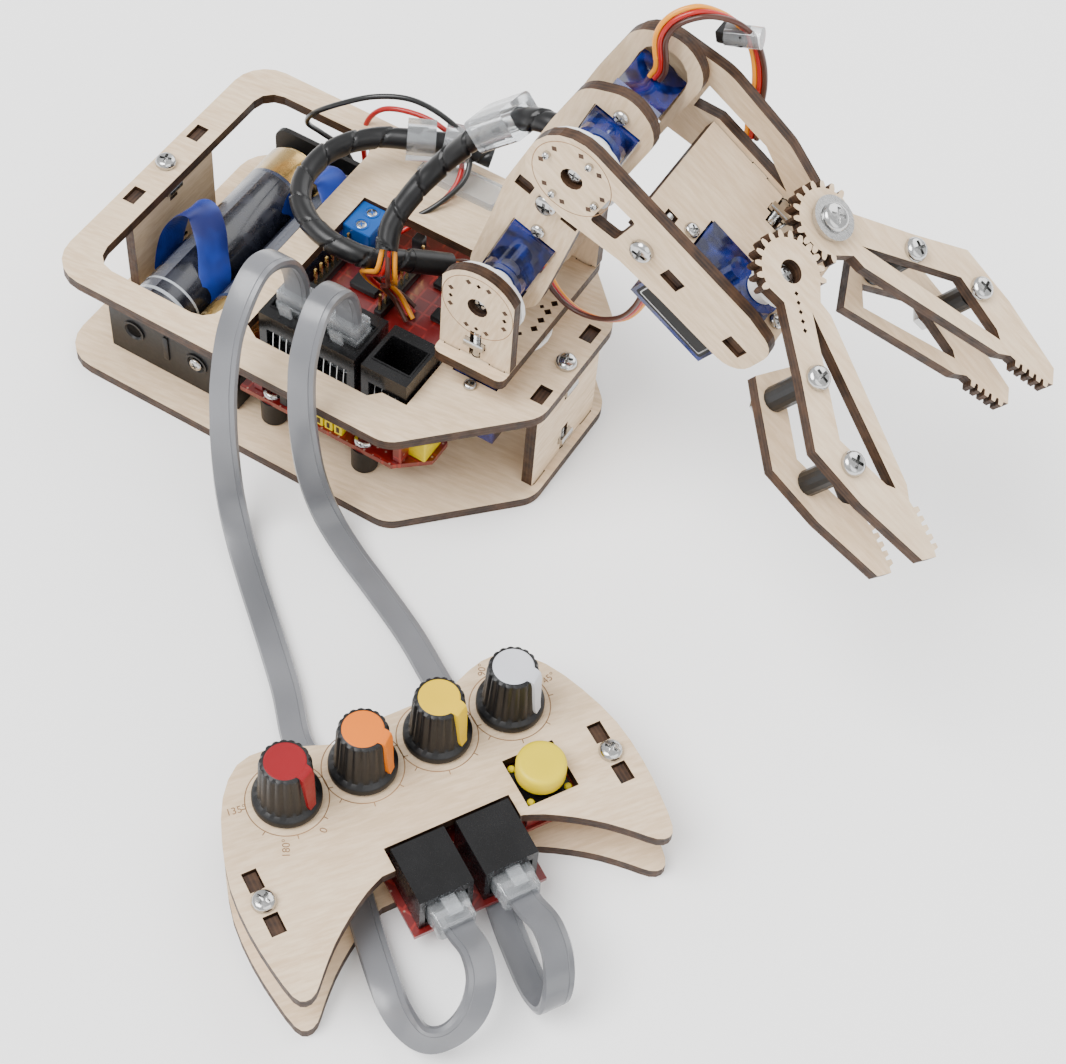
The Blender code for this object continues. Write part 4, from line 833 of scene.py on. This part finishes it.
# Plugs ------------------------------------------------------------------------------------------
def plug_details():
    """Latch, shoulder and contacts of the clear plugs."""
    for number, x in enumerate(JACK_X[:2], 1):
        latch = loft([[(x - 1.7, JACK_Y - 3.4, 33), (x + 1.7, JACK_Y - 3.4, 33), (x + 1.7, JACK_Y - 3.9, 33),
                       (x - 1.7, JACK_Y - 3.9, 33)],
                      [(x - 1.7, JACK_Y - 5.6, 45.5), (x + 1.7, JACK_Y - 5.6, 45.5),
                       (x + 1.7, JACK_Y - 6.4, 45.5),
                       (x - 1.7, JACK_Y - 6.4, 45.5)]])
        piece(f"plug_base_latch_{number}", latch, "clear_plastic", "base")
        collar = block(soft_box(x - 4.6, JACK_Y - 3.1, x + 4.6, JACK_Y + 3.1, 0.8), 41.6, 46.0, 0.5)
        piece(f"plug_base_collar_{number}", collar, "clear_plastic", "base")
    for number, u in enumerate(PAD_JACK_U, 1):
        latch = loft([[(u - 1.7, -9, 17.2), (u + 1.7, -9, 17.2), (u + 1.7, -9, 17.6), (u - 1.7, -9, 17.6)],
                      [(u - 1.7, -21, 18.4), (u + 1.7, -21, 18.4), (u + 1.7, -21, 19.2),
                       (u - 1.7, -21, 19.2)]])
        piece(f"plug_pad_latch_{number}", latch, "clear_plastic", "base", PAD)
        collar = stacked([(soft_box(-4.6, -3.1, 4.6, 3.1, 0.8), 0),
                          (soft_box(-4.6, -3.1, 4.6, 3.1, 0.8), 3.6),
                          (soft_box(-4.2, -2.6, 4.2, 2.6, 0.8), 4.2)])
        piece(f"plug_pad_collar_{number}", collar, "clear_plastic", "base",
              PAD @ shift(u, -17.8, 13.6) @ spin("X", 90))
        for k in range(4):
            at = u - 3.0 + 2.0 * k
            pin = block(box(at - 0.3, -12.0, at + 0.3, -5.2), 17.0, 17.3, 0.05)
            piece(f"plug_pad_{number}_contact_{k}", pin, "gold", "base", PAD)


# Arm --------------------------------------------------------------------------------------------
def diamond(name, body, spot, size=0.85, look="char"):
    """Small lozenge burnt into the ply."""
    piece(name, stacked([(ring(0, 0, size, 4), -0.05), (ring(0, 0, size, 4), 0.03)]), look, body, spot)


def horn_face(name, body, spot, turn=0.0):
    """Marks round a horn: a lozenge either side of each of its screw holes, and a fine burnt circle."""
    for quarter in range(4):
        angle = turn + 90 * quarter
        for side in (-1, 1):
            at = spot @ spin("Z", angle) @ shift(7.5, 2.8 * side, 0)
            diamond(f"{name}_mark_{quarter}_{'near' if side < 0 else 'far'}", body, at)
    line = [(9.75, -0.05), (9.95, -0.05), (9.95, 0.03), (9.75, 0.03)]
    piece(f"{name}_circle", turned(line, 64, closed=True), "engraving", body, spot)


def yoke_hardware():
    for name, y in (("near", -16.4), ("far", 25.5)):
        screw(f"yoke_{name}_screw", "yoke", shift(0, y, 42.2) @ spin("X", 180), 2.9, 2.1, 12.0)
        nut(f"yoke_{name}_nut", "yoke", shift(0, y, 49.2))
    horn_face("yoke_face", "yoke", shift(0, -17.9, SHOULDER_Z) @ TO_NEAR)
    screw("shoulder_horn_screw", "yoke", shift(0, -15.4, SHOULDER_Z) @ TO_NEAR, 2.2, 1.4)


def arm_hardware():
    near = ARM @ shift(0, -3.35, 0) @ TO_NEAR
    ears = [(EAR_HOLES[0], 0), (EAR_HOLES[1], 0), (ARM_LENGTH - EAR_HOLES[0], 0),
            (ARM_LENGTH - EAR_HOLES[1], 0)]
    small_screws("arm_ear_screw", "upper_arm", near, ears, 1.9)
    slot_screw("arm_near_cross", "upper_arm", near @ shift(29.4, 2, 0), 10.5, 9.0)
    far = ARM @ shift(0, 19.5, 0) @ TO_FAR
    slot_screw("arm_far_cross", "upper_arm", far @ shift(29.4, -2, 0), 10.5, 9.0)


def pivot_screws():
    """Screw and washer on the end of each far pivot."""
    washer = [(1.6, 0), (4.4, 0), (4.4, 0.6), (1.6, 0.6)]
    for name, spot in (("shoulder", ARM @ shift(0, 28.25, 0)), ("elbow", ARM @ shift(ARM_LENGTH, 24.95, 0))):
        at = spot @ TO_FAR
        piece(f"{name}_pivot_washer", turned(washer, 40, closed=True), "steel", "upper_arm", at)
        screw(f"{name}_pivot_screw", "upper_arm", at @ shift(0, 0, 0.6), 2.7, 1.6)


def servo_labels():
    """Dark label with a pale outline on the side of each arm servo's case, without lettering."""
    spots = {"upper_arm_1": ("upper_arm", ARM @ shift(5.5, 10.0, 6.14)),
             "upper_arm_2": ("upper_arm", ARM @ shift(ARM_LENGTH - 5.5, 10.0, 6.14)),
             "forearm": ("forearm", FOREARM @ shift(GEAR_T - 5.5, GEAR_A_Y - 6.14, -11.5) @ TO_NEAR)}
    for name, (body, spot) in spots.items():
        face = stacked([(soft_box(-10.6, -6.0, 10.6, 6.0, 0.6), -0.04),
                        (soft_box(-10.6, -6.0, 10.6, 6.0, 0.6),
                                                                       0.06)])
        piece(f"servo_label_{name}", face, "black_satin", body, spot)
        outer, inner = soft_box(-9.9, -5.3, 9.9, 5.3, 0.5), soft_box(-9.6, -5.0, 9.6, 5.0, 0.4)
        rule = stacked([(outer, 0.05), (outer, 0.09), (inner, 0.09), (inner, 0.05)], closed=True)
        piece(f"servo_label_rule_{name}", rule, "steel", body, spot)


def forearm_hardware():
    near = FOREARM @ shift(0, -18.6, 0) @ TO_NEAR
    slot_screw("forearm_near", "forearm", near @ shift(21.5, 1.5, 0), 11.5, 9.0)
    far = FOREARM @ shift(0, 23.7, 0) @ TO_FAR
    slot_screw("forearm_far", "forearm", far @ shift(40.4, -1.5, 0), 11.5, 9.0)
    ears = [(GEAR_T - x, GEAR_A_Y) for x in EAR_HOLES]
    small_screws("deck_ear_screw", "forearm", FOREARM @ shift(0, 0, PLY), ears, 1.9)
    horn_face("forearm_face", "forearm", near)
    small_screws("elbow_horn_screw", "forearm", near, [(7.5, 0), (-7.5, 0), (0, 7.5), (0, -7.5)], 0.95)
    screw("elbow_shaft_screw", "forearm", FOREARM @ shift(0, -16.2, 0) @ TO_NEAR, 2.2, 1.4)
    top = FOREARM @ shift(GEAR_T, GEAR_B_Y, 0)
    washer = [(1.6, 19.6), (5.4, 19.6), (5.4, 20.3), (1.6, 20.3)]
    piece("gear_washer", turned(washer, 48, closed=True), "steel", "forearm", top)
    screw("gear_screw", "forearm", top @ shift(0, 0, 20.3), 3.5, 1.5, 0, 35)


def arm_leads():
    """Servo leads: the arch over the elbow with its clear joint, the stub at the servo and the low loop."""
    route = smooth(LEAD_ROUTE, 6)
    side, sides = Vector((1.06, 0, -0.21)), []
    for k in range(len(route)):
        ahead = (route[min(k + 1, len(route) - 1)] - route[max(k - 1, 0)]).normalized()
        sides.append((side - ahead * side.dot(ahead)).normalized())
    for number, look in enumerate(("brown_wire", "red_wire", "orange_wire")):
        path = [here + across * 1.28 * (1 - number) for here, across in zip(route, sides)]
        made = piece(f"elbow_{look}", sweep(path, ring(0, 0, 0.64, 12)), look, "forearm")
        if number == 1:
            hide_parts("elbow_lead")
        stub = [Vector((23.6, 13.0, 124.9)), Vector((24.6, 13.2, 127.6)), Vector((24.4, 13.4, 130.6))]
        stub = [p + Vector((1.2 * (1 - number), 0, 0.2)) for p in stub]
        wire(f"elbow_stub_{look}", stub, 0.62, look, "upper_arm")
    tube = [(33.5, 25.6, 133.6), (37.4, 26.4, 134.4), (41.4, 27.2, 135.2)]
    piece("joint_sleeve", sweep(smooth(tube, 5), ring(0, 0, 2.5, 24)), "clear_plastic", "forearm")
    plug = block(soft_box(-5.6, -2.2, 1.2, 2.2, 0.5), -1.5, 1.5)
    piece("joint_plug", plug, "black_satin", "forearm", shift(37.0, 26.3, 134.2) @ spin("Y", -14))
    loop = [(4, 4.6, 62), (9, 4.2, 55), (15, 3.8, 52), (22, 3.6, 53), (28.6, 3.4, 58), (32.4, 3.4, 66),
            (33, 3.4, 74), (30, 3.6, 80), (25, 4, 83)]
    lead("arm_loop", loop, "upper_arm", spread=(0.5, 0.9, -0.7))


def claw_hardware():
    for name, spot in CLAWS.items():
        mirror = 1 if name == "claw_a" else -1
        for number, (u, v) in enumerate([(24.2, 0.0), (43.5, 4.1)], 1):
            at = spot @ shift(u, mirror * v, 18.0)
            screw(f"{name}_top_screw_{number}", name, at, 3.0, 2.2, 18.5, 30 * number)
            under = spot @ shift(u, mirror * v, 0) @ spin("X", 180)
            nut(f"{name}_nut_{number}", name, under, 6)
    screw("gripper_horn_screw", "claw_a", CLAWS["claw_a"] @ shift(0, 0, 14.9), 2.4, 1.3)


# Hand controller --------------------------------------------------------------------------------
def pad_plate_hardware():
    for name, u in (("left", -43.2), ("right", 43.2)):
        screw(f"pad_{name}_screw", "base", PAD @ shift(u, 0, PAD_TOP), 2.9, 2.1, 14.0, 35)


def dial(number, u):
    """Burnt scale round a knob: a ring line and seven ticks. The degree numbers are made by dial_numbers."""
    spot = PAD @ shift(u, KNOB_V, PAD_TOP)
    line = [(9.35, -0.05), (9.6, -0.05), (9.6, 0.03), (9.35, 0.03)]
    piece(f"dial_{number}_line", turned(line, 96, closed=True), "engraving", "base", spot)
    for k in range(7):
        tick = stacked([(box(9.6, -0.12, 10.6, 0.12), -0.05), (box(9.6, -0.12, 10.6, 0.12), 0.03)])
        piece(f"dial_{number}_tick_{k}", tick, "engraving", "base", spot @ spin("Z", -135 + 45 * k - 55))


def dial_number(name, text, u, v, turn):
    data = bpy.data.curves.new(name, "FONT")
    data.body = text
    data.size = 2.5 * MM
    data.extrude = 0.04 * MM
    data.align_x = "CENTER"
    data.materials.append(LOOKS["engraving"])
    made = bpy.data.objects.new(name, data)
    bpy.context.scene.collection.objects.link(made)
    spot = PAD @ shift(u, v, PAD_TOP) @ spin("Z", turn)
    spot.translation *= MM
    made.matrix_world = spot
    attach(made, "base")


def dial_numbers():
    for name, text, u, v, turn in (("left_135", "135°", -39.7, 22.6, -8),
                                   ("left_180", "180°", -32.7, 9.6, 66),
                                   ("left_0", "0", -23.6, 9.8, 45), ("right_90", "90°", 27.4, 32.2, 60),
                                   ("right_45", "45°", 40.0, 23.0, 14)):
        dial_number(f"dial_{name}", text, u, v, turn)


POINTERS = (("red_cap", -60), ("orange_cap", -50), ("yellow_cap", -60), ("white_cap", -55))


def knob(number, u, cap, pointer):
    """Skirted, fluted knob with a coloured cap whose pointer runs down the side."""
    spot = PAD @ shift(u, KNOB_V, 0)
    count = 96
    low = 19.0

    def fluted(radius, depth):
        outline = []
        for k in range(count):
            wave = (0.5 + 0.5 * math.cos(math.tau * 18 * k / count)) ** 2
            turn = math.tau * k / count
            reach = radius - depth * wave
            outline.append((reach * math.cos(turn), reach * math.sin(turn)))
        return outline

    bore = ring(0, 0, 3.4, count)
    levels = [(bore, 29.6), (bore, low), (ring(0, 0, 7.7, count), low), (ring(0, 0, 8.0, count), low + 0.3),
              (ring(0, 0, 8.0, count), low + 1.9), (ring(0, 0, 7.7, count), low + 2.3),
              (ring(0, 0, 6.75, count), low + 2.9), (fluted(6.5, 0.4), low + 4.2), (fluted(6.0, 0.55), 33.6),
              (fluted(5.7, 0.3), 34.8), (ring(0, 0, 5.1, count), 35.2)]
    made = piece(f"knob_grip_{number}", stacked(levels), "black_satin", f"knob_{number}", spot)
    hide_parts(f"knob_{number}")
    top = [(4.9, 34.6), (4.9, 35.1), (4.55, 35.4)]
    piece(f"knob_cap_{number}", turned(top, 64), cap, f"knob_{number}", spot)
    strip = []
    for reach, z, half in ((4.4, 35.38, 2.0), (5.3, 35.36, 1.9), (6.05, 34.9, 1.8), (6.45, 33.4, 1.75),
                           (6.75, 28, 1.6), (6.98, 23.6, 1.35), (7.3, 22.0, 1.0)):
        strip.append([(reach, -half, z), (reach, half, z), (reach - 1.4, half, z - 0.3), (reach - 1.4, -half,
                                                                                          z - 0.3)])
    piece(f"knob_pointer_{number}", loft(strip), cap, f"knob_{number}", spot @ spin("Z", pointer))


def button():
    spot = PAD @ shift(*BUTTON, 0)
    profile = [(4.2, 17.6), (4.2, 18.6), (5.7, 18.6), (5.9, 18.9), (5.9, 22.6), (5.75, 23.2), (5.3, 23.6),
               (4.6, 23.75), (3.0, 23.6), (1.0, 23.5)]
    made = piece("button_dome", turned(profile, 72), "yellow_plastic", "button", spot)
    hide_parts("button_cap")
    piece("switch_body", block(soft_box(-5.9, -5.9, 5.9, 5.9, 0.6), 14.9, 16.0), "black_plastic", "base",
          spot)
    for number, (x, y) in enumerate(((-4.8, -4.8), (4.8, -4.8), (4.8, 4.8), (-4.8, 4.8))):
        piece(f"switch_peg_{number}", turned([(0.9, 15.8), (0.9, 16.5), (0.6, 16.8)], 16), "yellow_plastic",
              "base",
              spot @ shift(x, y, 0))


def controller():
    pad_plate_hardware()
    for number, (u, (cap, pointer)) in enumerate(zip(KNOB_U, POINTERS), 1):
        dial(number, u)
        knob(number, u, cap, pointer)
    dial_numbers()
    button()


# Studio -----------------------------------------------------------------------------------------
def studio():
    """Wide pale floor, three broad soft lights and an even pale surround."""
    mesh = bmesh.new()
    bmesh.ops.create_grid(mesh, x_segments=4, y_segments=4, size=6.0)
    data = bpy.data.meshes.new("studio_floor")
    mesh.to_mesh(data)
    mesh.free()
    data.materials.append(studio_floor())
    floor = bpy.data.objects.new("studio_floor", data)
    floor.location.z = -0.0002
    bpy.context.scene.collection.objects.link(floor)
    for name, place, spread, power in (("key", (-0.5, -0.6, 1.3), 42, 4.8),
                                       ("fill", (1.1, -0.5, 0.8), 55, 1.2),
                                       ("rim", (0.2, 1.2, 0.9), 50, 1.6)):
        lamp = bpy.data.lights.new(name, "SUN")
        lamp.angle = math.radians(spread)
        lamp.energy = power
        made = bpy.data.objects.new(name, lamp)
        made.location = place
        made.rotation_euler = (-Vector(place)).to_track_quat("-Z", "Y").to_euler()
        bpy.context.scene.collection.objects.link(made)
    world = bpy.data.worlds.new("surround")
    world.use_nodes = True
    sky = world.node_tree.nodes["Background"]
    sky.inputs["Color"].default_value = (1, 1, 1, 1)
    sky.inputs["Strength"].default_value = 1.05
    bpy.context.scene.world = world


camera()
data_cables()
dress_cad()
looms()
base_hardware()
board_sleeves()
pin_rows()
terminal()
chips()
jack_contacts()
batteries()
holder_details()
ribbons()
battery_leads()
clips()
plug_details()
yoke_hardware()
arm_hardware()
pivot_screws()
servo_labels()
forearm_hardware()
arm_leads()
claw_hardware()
controller()
studio()
